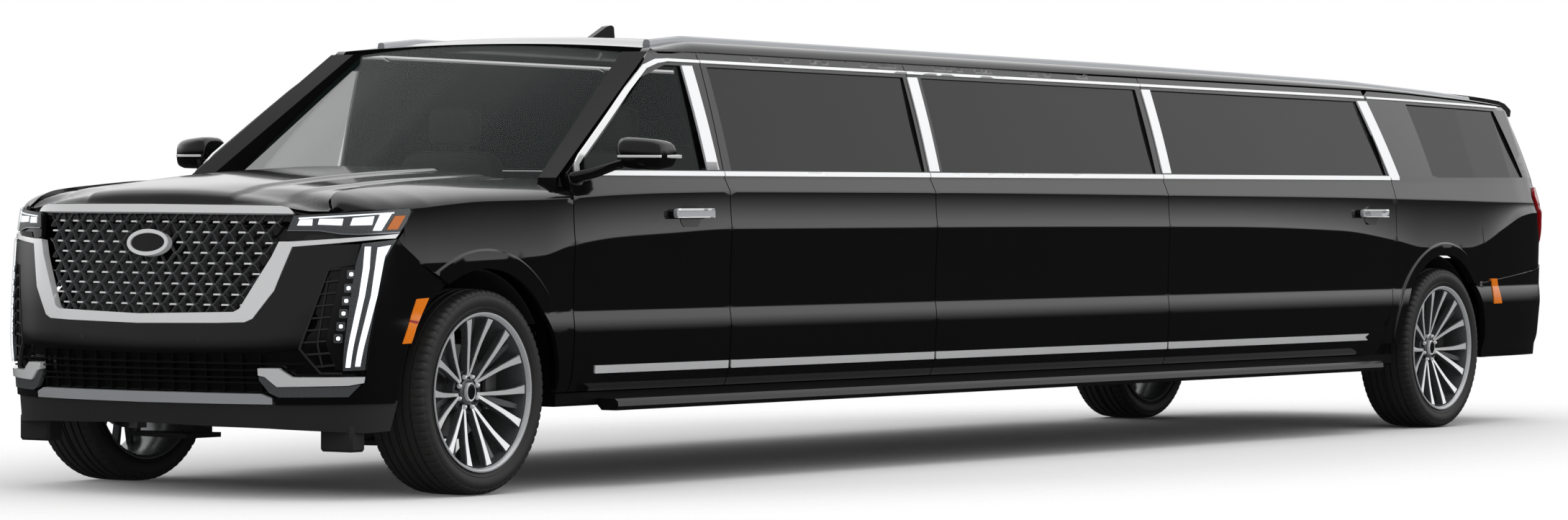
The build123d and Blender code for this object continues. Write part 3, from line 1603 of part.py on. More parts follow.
with BuildPart() as front_seats:
    extrude(xz_face(seat_y + seat_half, seat_profile(seat_x)), amount=2 * seat_half)
    with Locations((seat_x - 300, seat_y, backrest_top_z - 20)):
        Box(90, 240, headrest_z[1] - backrest_top_z + 20,
            align=(Align.CENTER, Align.CENTER, Align.MIN))
    mirror(about=Plane.XZ)
front_seats.part.label = "front_seats"
export_step(front_seats.part, "parts/front_seats.step")

bench_depth = 560
bench_y = sill_inner_y - 30
with BuildPart() as lounge_seats:
    # bench along the right side
    side_front_x = cut_c - 150
    side_rear_x = cut_e + 330
    with Locations(((side_front_x + side_rear_x) / 2, -bench_y, cabin_floor_z + seat_clearance)):
        Box(side_front_x - side_rear_x, bench_depth, 430,
            align=(Align.CENTER, Align.MIN, Align.MIN))
        Box(side_front_x - side_rear_x, 150, 800, align=(Align.CENTER, Align.MIN, Align.MIN))
    # rear bench across the car
    with Locations((cut_e - 200, 0, cabin_floor_z + seat_clearance)):
        Box(bench_depth, 2 * 640, 430, align=(Align.CENTER, Align.CENTER, Align.MIN))
    with Locations((cut_e - 200 - bench_depth / 2, 0, cabin_floor_z + seat_clearance)):
        Box(150, 2 * 640, 830, align=(Align.MAX, Align.CENTER, Align.MIN))
lounge_seats.part.label = "lounge_seats"
export_step(lounge_seats.part, "parts/lounge_seats.step")

# ---------------------------------------------------------------- door mirrors
mirror_x = cut_a - 185           # foremost face of the mirror head
mirror_root_x = cut_a - 150


def mirror_foot_section(x):
    skin = side_skin(x)
    return [
        (skin[6][0] + seat_clearance, skin[6][1]),
        (skin[7][0] + seat_clearance, skin[7][1]),
        (skin[7][0] + 60, skin[7][1] + 12),
        (half_width + 125, 1318),
        (half_width + 125, 1290),
        (skin[6][0] + 60, 1268),
    ]


with BuildPart() as door_mirror_left:
    loft(
        sections=[yz_face(x, mirror_foot_section(x)) for x in (mirror_root_x, mirror_root_x - 110)],
        ruled=True,
    )
    with BuildSketch(Plane(origin=(mirror_x, 0, 0), x_dir=(0, 1, 0), z_dir=(1, 0, 0))):
        with BuildLine():
            Polyline(
                (half_width + 60, 1300),
                (half_width + 60, 1432),
                (half_width + 230, 1436),
                (half_width + 262, 1400),
                (half_width + 262, 1330),
                (half_width + 240, 1296),
                close=True,
            )
        make_face()
    extrude(amount=-150)
door_mirror_left.part.label = "door_mirror_left"
export_step(door_mirror_left.part, "parts/door_mirror_left.step")

# ---------------------------------------------------------------- right-hand twins
right_hand = {
    "front_door_right": front_door_left,
    "front_door_glass_right": front_door_glass_left,
    "rear_door_right": rear_door_left,
    "rear_door_glass_right": rear_door_glass_left,
    "front_knuckle_right": front_knuckle_left,
    "door_mirror_right": door_mirror_left,
}
for name, left_twin in right_hand.items():
    twin = mirrored(left_twin.part)
    twin.label = name
    export_step(twin, f"parts/{name}.step")

# glass of the fixed panels
with BuildPart() as side_glass:
    for window, front_x, rear_x in (
        (first_window, cut_b, cut_c),
        (second_window, cut_c, cut_d),
        (quarter_window, cut_e - 300, quarter_end_x),
    ):
        with BuildPart(mode=Mode.PRIVATE) as pane:
            loft(sections=glass_blank(rear_x, front_x), ruled=True)
            extrude(xz_face(half_width + 50, window), amount=400, mode=Mode.INTERSECT)
        add(pane.part)
    mirror(about=Plane.XZ)
side_glass.part.label = "side_glass"
export_step(side_glass.part, "parts/side_glass.step")
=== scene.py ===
import math
import bmesh
import bpy
import numpy as np
from mathutils import Matrix, Vector
from mathutils.geometry import delaunay_2d_cdt


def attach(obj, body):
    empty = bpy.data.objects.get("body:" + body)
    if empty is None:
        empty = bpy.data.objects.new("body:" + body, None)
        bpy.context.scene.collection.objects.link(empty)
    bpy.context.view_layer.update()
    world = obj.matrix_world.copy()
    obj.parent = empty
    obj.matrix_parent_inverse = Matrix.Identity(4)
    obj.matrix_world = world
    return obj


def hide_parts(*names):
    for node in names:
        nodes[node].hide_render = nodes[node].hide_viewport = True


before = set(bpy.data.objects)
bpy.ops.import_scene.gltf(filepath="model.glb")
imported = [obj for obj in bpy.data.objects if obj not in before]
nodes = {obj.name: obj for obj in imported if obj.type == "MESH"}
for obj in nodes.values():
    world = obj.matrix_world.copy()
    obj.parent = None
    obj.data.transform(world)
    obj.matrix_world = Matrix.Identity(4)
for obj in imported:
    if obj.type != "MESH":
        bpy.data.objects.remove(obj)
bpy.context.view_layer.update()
print("frame loaded,", len(nodes), "nodes")

# the car's main places, metres
car = {
    "frontAxle": 4.3375, "rearAxle": -3.8125, "noseX": 5.2625, "roofEnd": -4.9025,
    "halfWidth": 1.03, "gap": 0.006, "hubY": .87, "hubHeight": .41,
    "frontArch": 0.49, "rearArch": 0.48, "frontFlare": .565, "rearFlare": .54, "flareOut": .010,
    "cutA": 3.7525, "cutB": 2.6475, "cutC": 1.0475, "cutD": -0.9925, "cutE": -3.2825,
}
frontAxle, rearAxle, roofEnd = car["frontAxle"], car["rearAxle"], car["roofEnd"]
cutA, cutB, cutC, cutD, cutE = (car[k] for k in ("cutA", "cutB", "cutC", "cutD", "cutE"))
halfGap = car["gap"] / 2


# tables and curves
def smoothTable(rows):
    rows = sorted(rows)
    xs = np.array([r[0] for r in rows], float)
    ys = np.array([r[1:] for r in rows], float)
    h = np.diff(xs)[:, None]
    d = np.diff(ys, axis=0) / h
    slope = np.zeros_like(ys)
    slope[0], slope[-1] = d[0], d[-1]
    same = d[:-1] * d[1:] > 0
    total = np.where(same, d[:-1] + d[1:], 1.0)
    slope[1:-1] = np.where(same, 2 * d[:-1] * d[1:] / total, 0.0)

    def at(x):
        x = np.clip(np.asarray(x, float), xs[0], xs[-1])
        k = np.clip(np.searchsorted(xs, x, side="right") - 1, 0, len(xs) - 2)
        t = ((x - xs[k]) / h[k, 0])[..., None]
        hk = h[k]
        value = ((1 + 2 * t) * (1 - t) ** 2 * ys[k] + t * (1 - t) ** 2 * hk * slope[k]
                 + t * t * (3 - 2 * t) * ys[k + 1] + t * t * (t - 1) * hk * slope[k + 1])
        return np.moveaxis(value, -1, 0)
    return at


def step(low, high, x):
    t = np.clip((x - low) / (high - low), 0, 1)
    return t * t * (3 - 2 * t)


def stack(x, y, z):
    x, y, z = np.broadcast_arrays(x, y, z)
    return np.stack([x, y, z], -1)


# shapes: (points, faces, normals of each face's corners, material number)
meshing = {
    "nudge": .0006,  # step that slopes are measured over
    "closest": .004,  # least gap between points on an outline
    "lineGap": .022,  # grid points keep off added lines
    "edgeShare": .3,  # and off outlines, as a share of the spacing
    "rimLean": .35,  # how far the rounded rim's normals lean back
    "sharp": 40, "sharpPlain": 32,  # degrees
}


def densify(loop, spacing, lines=()):
    out = []
    count = len(loop)
    for i in range(count):
        p, q = np.array(loop[i], float), np.array(loop[(i + 1) % count], float)
        n = max(1, int(math.ceil(np.linalg.norm(q - p) / spacing)))
        ts = [k / n for k in range(n)]
        for line in lines:
            if (p[1] - line) * (q[1] - line) < 0:
                ts.append((line - p[1]) / (q[1] - p[1]))
        ts = sorted(ts)
        last = -1.0
        for t in ts:
            if t - last > meshing["closest"]:
                out.append(p + (q - p) * t)
                last = t
    return np.array(out)


def insideLoops(points, loops):
    x, y = points[:, 0], points[:, 1]
    hit = np.zeros(len(points), bool)
    for loop in loops:
        for (x0, y0), (x1, y1) in zip(loop, np.roll(loop, -1, axis=0)):
            if y0 != y1:
                hit ^= ((y0 > y) != (y1 > y)) & (x < (x1 - x0) * (y - y0) / (y1 - y0) + x0)
    return hit


def distanceTo(points, loops):
    best = np.full(len(points), 1e9)
    for loop in loops:
        for p, q in zip(loop, np.roll(loop, -1, axis=0)):
            d = q - p
            t = np.clip(((points - p) @ d) / max(d @ d, 1e-12), 0, 1)
            best = np.minimum(best, np.linalg.norm(points - (p + t[:, None] * d), axis=1))
    return best


def normalsOn(surface, u, v, out):
    e = meshing["nudge"]
    n = np.cross(surface(u + e, v) - surface(u - e, v), surface(u, v + e) - surface(u, v - e))
    n /= np.maximum(np.linalg.norm(n, axis=1), 1e-12)[:, None]
    if (n @ np.array(out, float)).sum() < 0:
        n = -n
    return n


# turns the edges of flat slivers along an outline, so that they don't upset the normals
def withoutSlivers(uv, tris, least=0.0003):
    tris = [[int(a) for a in t] for t in tris]
    for _ in range(24):
        owner = {}
        for i, t in enumerate(tris):
            for k in range(3):
                owner.setdefault(frozenset((t[k], t[(k + 1) % 3])), []).append(i)
        done = set()
        for i, t in enumerate(tris):
            p = uv[t]
            sides = np.linalg.norm(np.roll(p, -1, axis=0) - p, axis=1)
            k = int(sides.argmax())
            (ax, ay), (bx, by) = p[1] - p[0], p[2] - p[0]
            if i in done or abs(ax * by - ay * bx) > least * sides[k]:
                continue
            a, c, b = t[k], t[(k + 1) % 3], t[(k + 2) % 3]
            others = [j for j in owner[frozenset((a, c))] if j != i and j not in done]
            if others:
                j = others[0]
                d = [v for v in tris[j] if v not in (a, c)][0]
                tris[i], tris[j] = [a, b, d], [b, c, d]
                done |= {i, j}
        if not done:
            break
    return np.array(tris)


# a closed sheet cut from surface(u, v) by an outline and holes, with rounded edges
def panelShape(surface, outline, holes=(), spacing=0.05, rows=None, thick=0.02, lift=0.0, rim=0.002,
               out=(0, 1, 0), stretch=1.0, edge=0.03, extra=(), material=0, lines=()):
    loops = [densify(loop, edge, lines) for loop in [outline] + list(holes)]
    flat = np.vstack(loops)
    low, high = flat.min(0), flat.max(0)
    us = np.linspace(low[0], high[0], max(2, int((high[0] - low[0]) / spacing) + 2))[1:-1]
    if rows is None:
        vs = np.linspace(low[1], high[1], max(2, int((high[1] - low[1]) / spacing) + 2))[1:-1]
    else:
        vs = np.array([v for v in rows if low[1] < v < high[1]])
    grid = np.array([(u, v) for u in us for v in vs]) if len(us) and len(vs) else np.zeros((0, 2))
    scale = np.array([1.0, stretch])
    scaledLoops = [loop * scale for loop in loops]
    chains = []
    for chain in extra:
        chain = np.asarray(chain, float)
        good = distanceTo(chain * scale, scaledLoops) > meshing["closest"]
        good &= insideLoops(chain, loops)
        chains.append((chain, good))
        if len(grid) and good.any():
            near = np.min(np.linalg.norm((grid[:, None] - chain[good][None]) * scale, axis=2),
                          axis=1)
            grid = grid[near > meshing["lineGap"]]
    if len(grid):
        grid = grid[insideLoops(grid, loops)]
        if len(grid):
            keepOff = meshing["edgeShare"] * min(edge, spacing)
            grid = grid[distanceTo(grid * scale, scaledLoops) > keepOff]
    edges, start = [], 0
    for loop in loops:
        n = len(loop)
        edges += [(start + i, start + (i + 1) % n) for i in range(n)]
        start += n
    points = [flat]
    for chain, good in chains:
        points.append(chain[good])
        ids = np.cumsum(good) - 1 + start
        edges += [(int(ids[i]), int(ids[i + 1])) for i in range(len(chain) - 1)
                  if good[i] and good[i + 1]]
        start += int(good.sum())
    if len(grid):
        points.append(grid)
    points = np.vstack(points)
    coords, _, faces, origins, _, _ = delaunay_2d_cdt([Vector(p) for p in points * scale], edges,
                                                      [], 0, 1e-6)
    uv = np.array([(c[0], c[1]) for c in coords]) / scale
    where = {}
    for i, group in enumerate(origins):
        for g in group:
            where[g] = i
    tris = np.array([(f[0], f[i], f[i + 1]) for f in faces for i in range(1, len(f) - 1)])
    middle = uv[tris].mean(1)
    tris = tris[insideLoops(middle, loops)]
    used = np.unique(tris)
    back = {int(a): i for i, a in enumerate(used)}
    uv = uv[used]
    tris = withoutSlivers(uv * scale, [[back[int(a)] for a in t] for t in tris])
    normal = normalsOn(surface, uv[:, 0], uv[:, 1], out)
    point = surface(uv[:, 0], uv[:, 1]) + normal * lift
    cross = np.cross(point[tris[:, 1]] - point[tris[:, 0]], point[tris[:, 2]] - point[tris[:, 0]])
    flip = (cross * normal[tris[:, 0]]).sum(1) < 0
    tris[flip] = tris[flip][:, ::-1]
    count = len(point)
    verts = [point, point - normal * thick]
    faceList = [tuple(t) for t in tris] + [tuple(t[::-1] + count) for t in tris]
    normalList = [normal[t] for t in tris] + [-normal[t[::-1]] for t in tris]
    size = 2 * count
    start = 0
    for index, loop in enumerate(loops):
        n = len(loop)
        ids = [back.get(where.get(start + i, -1), -1) for i in range(n)]
        ids = [a for i, a in enumerate(ids) if a >= 0 and a != ids[i - 1]]
        start += n
        n = len(ids)
        if n < 3:
            continue
        ids = np.array(ids)
        here = uv[ids]
        tangent = np.roll(here, -1, axis=0) - np.roll(here, 1, axis=0)
        area = (here[:, 0] * np.roll(here[:, 1], -1) - here[:, 1] * np.roll(here[:, 0], -1)).sum()
        outside = (1 if area > 0 else -1) * (1 if index == 0 else -1)
        side = np.stack([tangent[:, 1], -tangent[:, 0]], 1) * outside
        side /= np.maximum(np.linalg.norm(side, axis=1), 1e-12)[:, None]
        away = here + side * meshing["nudge"]
        o = surface(away[:, 0], away[:, 1]) - surface(here[:, 0], here[:, 1])
        o -= normal[ids] * (o * normal[ids]).sum(1)[:, None]
        o /= np.maximum(np.linalg.norm(o, axis=1), 1e-12)[:, None]
        verts.append(point[ids] - normal[ids] * min(rim, thick * 0.5))
        middleIds = np.arange(n) + size
        size += n
        mix = o + normal[ids] * meshing["rimLean"]
        mix /= np.linalg.norm(mix, axis=1)[:, None]
        for i in range(n):
            j = (i + 1) % n
            for ring in ((ids[i], ids[j], middleIds[j], middleIds[i], mix[i], mix[j], o[j], o[i]),
                         (middleIds[i], middleIds[j], ids[j] + count, ids[i] + count, o[i], o[j],
                          o[j], o[i])):
                quad, ns = list(ring[:4]), np.array(ring[4:])
                a = point[ids[j]] - point[ids[i]]
                if np.cross(a, -normal[ids[i]]) @ o[i] < 0:
                    quad, ns = quad[::-1], ns[::-1]
                faceList.append(tuple(int(q) for q in quad))
                normalList.append(ns)
    return np.vstack(verts), faceList, normalList, material


# quads over a grid of points; stripMaterials gives a material number for each column
def gridShape(grid, wrapRows=False, wrapCols=False, caps=False, material=0, stripMaterials=None):
    grid = np.asarray(grid, float)
    rows, cols = grid.shape[:2]
    verts = grid.reshape(-1, 3)
    shapes = {}
    for i in range(rows if wrapRows else rows - 1):
        for j in range(cols if wrapCols else cols - 1):
            a, b = i * cols + j, i * cols + (j + 1) % cols
            c, d = ((i + 1) % rows) * cols + (j + 1) % cols, ((i + 1) % rows) * cols + j
            m = stripMaterials[j] if stripMaterials else material
            shapes.setdefault(m, []).append((a, b, c, d))
    if caps:
        m = stripMaterials[-1] if stripMaterials else material
        shapes.setdefault(m, []).append(tuple(range(cols))[::-1])
        shapes.setdefault(m, []).append(tuple((rows - 1) * cols + j for j in range(cols)))
    faces, numbers = [], []
    for m, fs in shapes.items():
        faces += fs
        numbers += [m] * len(fs)
    return verts, faces, None, numbers


def mirrored(shape):
    verts, faces, normals, material = shape
    flipped = None if normals is None else [n[::-1] * np.array([1, -1, 1]) for n in normals]
    return verts * np.array([1, -1, 1]), [tuple(f[::-1]) for f in faces], flipped, material


def makePiece(name, body, shapes, looks, replaces=(), turnOut=False,
              angle=meshing["sharpPlain"]):
    looks = looks if isinstance(looks, (list, tuple)) else [looks]
    verts = np.vstack([s[0] for s in shapes])
    faces, numbers, normals, base = [], [], [], 0
    for points, fs, ns, material in shapes:
        faces += [tuple(int(i) + base for i in f) for f in fs]
        numbers += material if isinstance(material, list) else [material] * len(fs)
        if ns is not None:
            normals += ns
        base += len(points)
    mesh = bpy.data.meshes.new(name)
    mesh.from_pydata(verts.tolist(), [], faces)
    for look in looks:
        mesh.materials.append(look)
    mesh.polygons.foreach_set("material_index", numbers)
    mesh.polygons.foreach_set("use_smooth", [True] * len(faces))
    mesh.update()
    if len(normals) == len(faces):
        mesh.set_sharp_from_angle(angle=math.radians(meshing["sharp"]))
        mesh.normals_split_custom_set(np.vstack(normals).tolist())
    else:
        mesh.set_sharp_from_angle(angle=math.radians(angle))
    if turnOut:
        bmeshNormals(mesh)
    piece = bpy.data.objects.new(name, mesh)
    bpy.context.scene.collection.objects.link(piece)
    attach(piece, body)
    if replaces:
        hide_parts(*([replaces] if isinstance(replaces, str) else replaces))
    return piece


def bmeshNormals(mesh):
    bm = bmesh.new()
    bm.from_mesh(mesh)
    bmesh.ops.recalc_face_normals(bm, faces=bm.faces)
    bm.to_mesh(mesh)
    bm.free()


# materials
class Wire:
    def __init__(self, look, socket):
        self.look, self.socket = look, socket

    def maths(self, operation, *terms):
        return self.look.add("ShaderNodeMath", {"operation": operation}, dict(enumerate(terms)))

    def __add__(self, other):
        return self.maths("ADD", self, other)

    def __radd__(self, other):
        return self.maths("ADD", other, self)

    def __sub__(self, other):
        return self.maths("SUBTRACT", self, other)

    def __rsub__(self, other):
        return self.maths("SUBTRACT", other, self)

    def __mul__(self, other):
        return self.maths("MULTIPLY", self, other)

    def __rmul__(self, other):
        return self.maths("MULTIPLY", other, self)


class Look:
    def __init__(self, name, tree=None, **fixed):
        if tree is None:
            self.material = bpy.data.materials.new(name)
            self.material.use_nodes = True
            tree = self.material.node_tree
            self.shader = tree.nodes["Principled BSDF"]
            for key, value in fixed.items():
                self.shader.inputs[key.replace("_", " ")].default_value = value
        self.tree = tree

    def add(self, kind, settings=None, values=None, output=0):
        node = self.tree.nodes.new(kind)
        for key, value in (settings or {}).items():
            if key == "stops":
                ramp = node.color_ramp
                while len(ramp.elements) < len(value):
                    ramp.elements.new(0.5)
                for element, (place, shade) in zip(ramp.elements, value):
                    element.position = place
                    element.color = shade if len(shade) == 4 else (*shade, 1)
            else:
                setattr(node, key, value)
        for key, value in (values or {}).items():
            self.join(value, node.inputs[key])
        return Wire(self, node.outputs[output])

    def join(self, value, socket):
        if isinstance(value, Wire):
            self.tree.links.new(value.socket, socket)
        else:
            socket.default_value = value

    def drive(self, **values):
        for key, value in values.items():
            self.join(value, self.shader.inputs[key.replace("_", " ")])

    def noise(self, scale, detail=4):
        place = self.add("ShaderNodeTexCoord", output=3)
        return self.add("ShaderNodeTexNoise", {},
                        {"Vector": place, "Scale": scale, "Detail": detail})

    def blendColour(self, factor, first, second):
        return self.add("ShaderNodeMix", {"data_type": "RGBA"},
                        {0: factor, 6: (*first, 1), 7: (*second, 1)}, output=2)

    def bump(self, height, strength, distance=0.001):
        self.drive(Normal=self.add("ShaderNodeBump", {},
                                   {"Strength": strength, "Distance": distance, "Height": height}))


# name: colour, second colour, roughness, roughness change, grain scale, bump, other shader values
finishes = {
    "paint": ((0.0025, 0.0025, 0.003), (0.0045, 0.0045, 0.005), 0.10, 0.05, 900, 0.0,
              {"Coat_Weight": 0.4, "Coat_Roughness": 0.015, "Specular_IOR_Level": 0.5}),
    "glossBlack": ((0.004, 0.004, 0.004), (0.007, 0.007, 0.007), 0.14, 0.08, 600, 0.0,
                   {"Specular_IOR_Level": 0.5}),
    "blackPlastic": ((0.012, 0.012, 0.013), (0.02, 0.02, 0.021), 0.5, 0.15, 700, 0.15, {}),
    "rubber": ((0.012, 0.012, 0.012), (0.024, 0.023, 0.022), 0.55, 0.2, 420, 0.25, {}),
    "chrome": ((0.94, 0.945, 0.955), (0.88, 0.885, 0.90), 0.10, 0.05, 300, 0.0,
               {"Metallic": 0.45, "Specular_IOR_Level": 0.8}),
    "satinSilver": ((0.50, 0.51, 0.53), (0.40, 0.41, 0.43), 0.3, 0.12, 260, 0.03,
                    {"Metallic": 0.45}),
    "alloyBright": ((0.66, 0.67, 0.69), (0.52, 0.53, 0.55), 0.26, 0.12, 500, 0.02,
                    {"Metallic": 0.4, "Specular_IOR_Level": 0.8}),
    "alloyDark": ((0.17, 0.175, 0.18), (0.11, 0.115, 0.12), 0.28, 0.12, 300, 0.03,
                  {"Metallic": 0.6}),
    "gunmetal": ((0.26, 0.265, 0.275), (0.16, 0.165, 0.17), 0.24, 0.1, 300, 0.03,
                 {"Metallic": 0.6}),
    "steel": ((0.42, 0.42, 0.43), (0.3, 0.3, 0.31), 0.35, 0.15, 200, 0.05, {"Metallic": 1.0}),
    "chassis": ((0.012, 0.012, 0.012), (0.03, 0.028, 0.025), 0.6, 0.2, 40, 0.1, {}),
    "driveline": ((0.1, 0.1, 0.1), (0.05, 0.047, 0.044), 0.5, 0.2, 60, 0.15, {"Metallic": 0.6}),
    "leather": ((0.016, 0.015, 0.015), (0.03, 0.028, 0.027), 0.42, 0.18, 130, 0.3, {}),
    "carpet": ((0.012, 0.012, 0.012), (0.03, 0.03, 0.03), 0.95, 0.05, 900, 0.6, {}),
    "amber": ((0.75, 0.2, 0.01), (0.6, 0.13, 0.005), 0.12, 0.08, 300, 0.0,
              {"Coat_Weight": 0.5, "Emission_Color": (0.9, 0.25, 0.02, 1),
               "Emission_Strength": 0.12}),
    "lampRed": ((0.32, 0.004, 0.006), (0.18, 0.002, 0.004), 0.1, 0.06, 260, 0.0,
                {"Coat_Weight": 0.6, "Emission_Color": (0.6, 0.01, 0.015, 1),
                 "Emission_Strength": 0.06}),
    "lampWhite": ((0.85, 0.88, 0.92), (0.7, 0.75, 0.82), 0.2, 0.1, 160, 0.0,
                  {"Emission_Color": (0.93, 0.97, 1, 1), "Emission_Strength": 0.9}),
    "frameBlack": ((0.004, 0.004, 0.004), (0.007, 0.007, 0.007), 0.32, 0.1, 600, 0.0,
                   {"Specular_IOR_Level": 0.06}),
    "reflector": ((0.5, 0.52, 0.55), (0.22, 0.23, 0.25), 0.12, 0.1, 90, 0.02, {"Metallic": 1.0}),
}


def finish(name):
    colour, second, rough, change, scale, bump, other = finishes[name]
    look = Look(name, **other)
    grain = look.noise(scale)
    cloud = look.noise(3.1, 2)
    look.drive(Base_Color=look.blendColour(grain * 0.5 + cloud * 0.5, colour, second),
               Roughness=rough - change / 2 + grain * change)
    if bump:
        look.bump(grain, bump, 0.0006)
    return look.material


looks = {name: finish(name) for name in finishes}


def glass(name, tint, second, alpha, edgeAlpha, rough):
    look = Look(name, Specular_IOR_Level=0.4, IOR=1.45)
    film = look.noise(1.7, 2)
    facing = look.add("ShaderNodeLayerWeight", {}, {"Blend": 0.35}, output=0)
    look.drive(Base_Color=look.blendColour(film, tint, second), Roughness=rough + film * 0.02,
               Alpha=alpha + facing * (edgeAlpha - alpha))
    look.material.surface_render_method = "BLENDED"
    return look.material


looks["clearGlass"] = glass("clearGlass", (0.010, 0.018, 0.017), (0.014, 0.024, 0.022), 0.20, 0.34,
                            0.01)
looks["darkGlass"] = glass("darkGlass", (0.006, 0.006, 0.0065), (0.011, 0.011, 0.0115), 0.93, 1.0,
                           0.015)
looks["lens"] = glass("lens", (0.03, 0.032, 0.034), (0.05, 0.052, 0.055), 0.05, 0.22, 0.02)
print("materials made")


# the body's side, u along the car and w up it
bodyTable = smoothTable([  # x: inset, window top; rises of door top, roof shoulder and roof crown
    (4.9625, .060, 1.752, .030, .045, .060), (4.3375, .012, 1.752, .034, .045, .060),
    (3.7525, .004, 1.752, .038, .050, .066), (2.9575, .000, 1.744, .040, .064, .086),
    (2.5875, .000, 1.740, .046, .100, .128), (-0.9925, .000, 1.702, .046, .092, .124),
    (-3.2825, .008, 1.677, .046, .075, .110), (-4.2625, .024, 1.659, .034, .054, .090),
    (-4.7025, .040, 1.649, .024, .042, .076), (-4.9025, .058, 1.645, .018, .036, .066),
    (-5.2625, .090, 1.640, .016, .030, .056)])
creaseTable = smoothTable([  # x: height of the upper crease, height of the shoulder
    (5.0, .92, 1.124), (4.79, .92, 1.140), (4.34, .93, 1.172), (3.97, .945, 1.178),
    (3.78, .985, 1.182), (3.47, 1.018, 1.195), (3.10, 1.034, 1.204), (2.64, 1.05, 1.208),
    (1.0, 1.05, 1.206), (-1.5, 1.042, 1.193), (-2.69, 1.017, 1.186), (-3.29, .961, 1.180),
    (-3.58, .925, 1.177), (-4.1, .92, 1.170), (-4.23, .936, 1.167), (-4.53, 1.027, 1.160),
    (-4.75, 1.09, 1.156), (-5.0, 1.115, 1.150)])
profileRows = [(.395, .040), (.470, .015), (.632, .002), (.720, .011), (1.045, 0), (1.207, .011),
               (1.262, .040), (1.290, .046)]
profileBows = [-.004, 0, -.002, .002, .00275, 0, 0]
beltHeight, railHeight, doorTopHeight = 1.29, 1.741, 1.787


def sideHeight(u, w):
    top, rise = bodyTable(u)[1:3]
    crease, shoulder = creaseTable(u)
    z = np.where(w < .72, w, .72 + (w - .72) * (crease - .72) / .325)
    z = np.where(w > 1.045, crease + (w - 1.045) * (shoulder - crease) / .162, z)
    z = np.where(w > 1.207, shoulder + (w - 1.207) * (1.262 - shoulder) / .055, z)
    z = np.where(w > 1.262, w, z)
    upper = beltHeight + (w - beltHeight) * (top - beltHeight) / (railHeight - beltHeight)
    z = np.where(w > beltHeight, upper, z)
    return np.where(w > railHeight, top + (w - railHeight) * rise / (doorTopHeight - railHeight), z)


def sideRow(x, z):
    low, high = 0.0, 2.2
    for _ in range(40):
        mid = (low + high) / 2
        if float(sideHeight(np.array(x), np.array(mid))) < z:
            low = mid
        else:
            high = mid
    return low


def profile(w):
    total = np.zeros_like(w, dtype=float)
    for shift in (-.003, -.0015, 0, .0015, .003):
        q = w + shift
        p = np.full_like(total, profileRows[0][1])
        for ((z0, p0), (z1, p1)), bow in zip(zip(profileRows, profileRows[1:]), profileBows):
            t = np.clip((q - z0) / (z1 - z0), 0, 1)
            p = np.where(q > z0, p0 + (p1 - p0) * t + bow * 4 * t * (1 - t), p)
        t = np.clip((q - beltHeight) / (railHeight - beltHeight), 0, 1)
        p = np.where(q > beltHeight, .046 + .124 * t - .005 * np.sin(np.pi * t), p)
        t = np.clip((q - railHeight) / (doorTopHeight - railHeight), 0, 1.2)
        p = np.where(q > railHeight, .170 + .022 * t, p)
        total += p
    return total / 5


def flare(x, z):
    grow = 0
    for axle, radius in ((frontAxle, car["frontFlare"]), (rearAxle, car["rearFlare"])):
        r = np.hypot(x - axle, z - car["hubHeight"])
        grow = grow + car["flareOut"] * (1 - step(radius - .004, radius + .004, r))
    return grow


tailTable = smoothTable([  # height: tail behind the roof's end
    (.3, -.30), (.73, -.330), (.86, -.335), (1.05, -.325), (1.262, -.275), (1.65, -.085),
    (1.69, -.062), (1.75, -.05)])
cornerTable = smoothTable([(0, 0, 0), (.3, .04, .42), (.55, .12, .73), (.72, .32, .905),
                           (.86, .62, .975), (1, 1, 1)])
tailSpan = .5  # how far u runs on from the roof's end to the middle of the tail


def sideSurface(u, w):
    u, w = np.broadcast_arrays(np.asarray(u, float), np.asarray(w, float))
    x = np.maximum(u, roofEnd)
    z = sideHeight(x, w)
    y = car["halfWidth"] - bodyTable(x)[0] - profile(w) + flare(x, z)
    share = np.clip(1 - (roofEnd - u) / tailSpan, 0, 1)
    forward, outward = cornerTable(share)
    behind = u < roofEnd
    return stack(np.where(behind, roofEnd + tailTable(z)[0] * (1 - forward), x),
                 np.where(behind, y * outward, y), z)


# an outline given by x and height, turned into the surface's own u and w
def sideLoop(points):
    dense = densify(points, .04)
    return [(x, sideRow(max(x, roofEnd), z)) for x, z in dense]


sideRows = [.41, .43, .45, .466, .474, .50, .54, .58, .61, .628, .636, .66, .69, .715, .725, .76,
            .80, .85, .90, .95, .99, 1.02, 1.0405, 1.0495, 1.07, 1.10, 1.13, 1.16, 1.19, 1.2025,
            1.2115, 1.225, 1.245, 1.2575, 1.2665, 1.2855, 1.2945, 1.33, 1.38, 1.44, 1.50, 1.56,
            1.62, 1.68, 1.72, 1.7365, 1.7455, 1.765]


def arcPoints(axle, radius, first, last, count, height=car["hubHeight"]):
    return [(axle + radius * math.cos(math.radians(a)), height + radius * math.sin(math.radians(a)))
            for a in np.linspace(first, last, count)]


def flareExtra(axle, radius):
    return [[(x, sideRow(x, z)) for x, z in arcPoints(axle, r, 2, 178, 84)]
            for r in (radius - .005, radius, radius + .005)]


def topOf(x):
    return float(bodyTable(np.array(x))[1])


def doorTop(x):
    t = bodyTable(np.array(x))
    return float(t[1] + t[2])


def windowTop(x):
    return topOf(x) - .008


# doors and fixed panels
panelSkin = {"thick": .042, "spacing": .05, "edge": .03, "stretch": 3.0}
pillarSlope = 426 / 640
cutLine = [(.165, .395), (.130, .445), (.040, .640), (.005, .860), (-.010, 1.290), (.045, 1.740),
           (.052, 1.80)]


def cutPoint(z, shift=0.0):
    zs = [p[1] for p in cutLine]
    return cutE + float(np.interp(z, zs, [p[0] for p in cutLine])) + shift


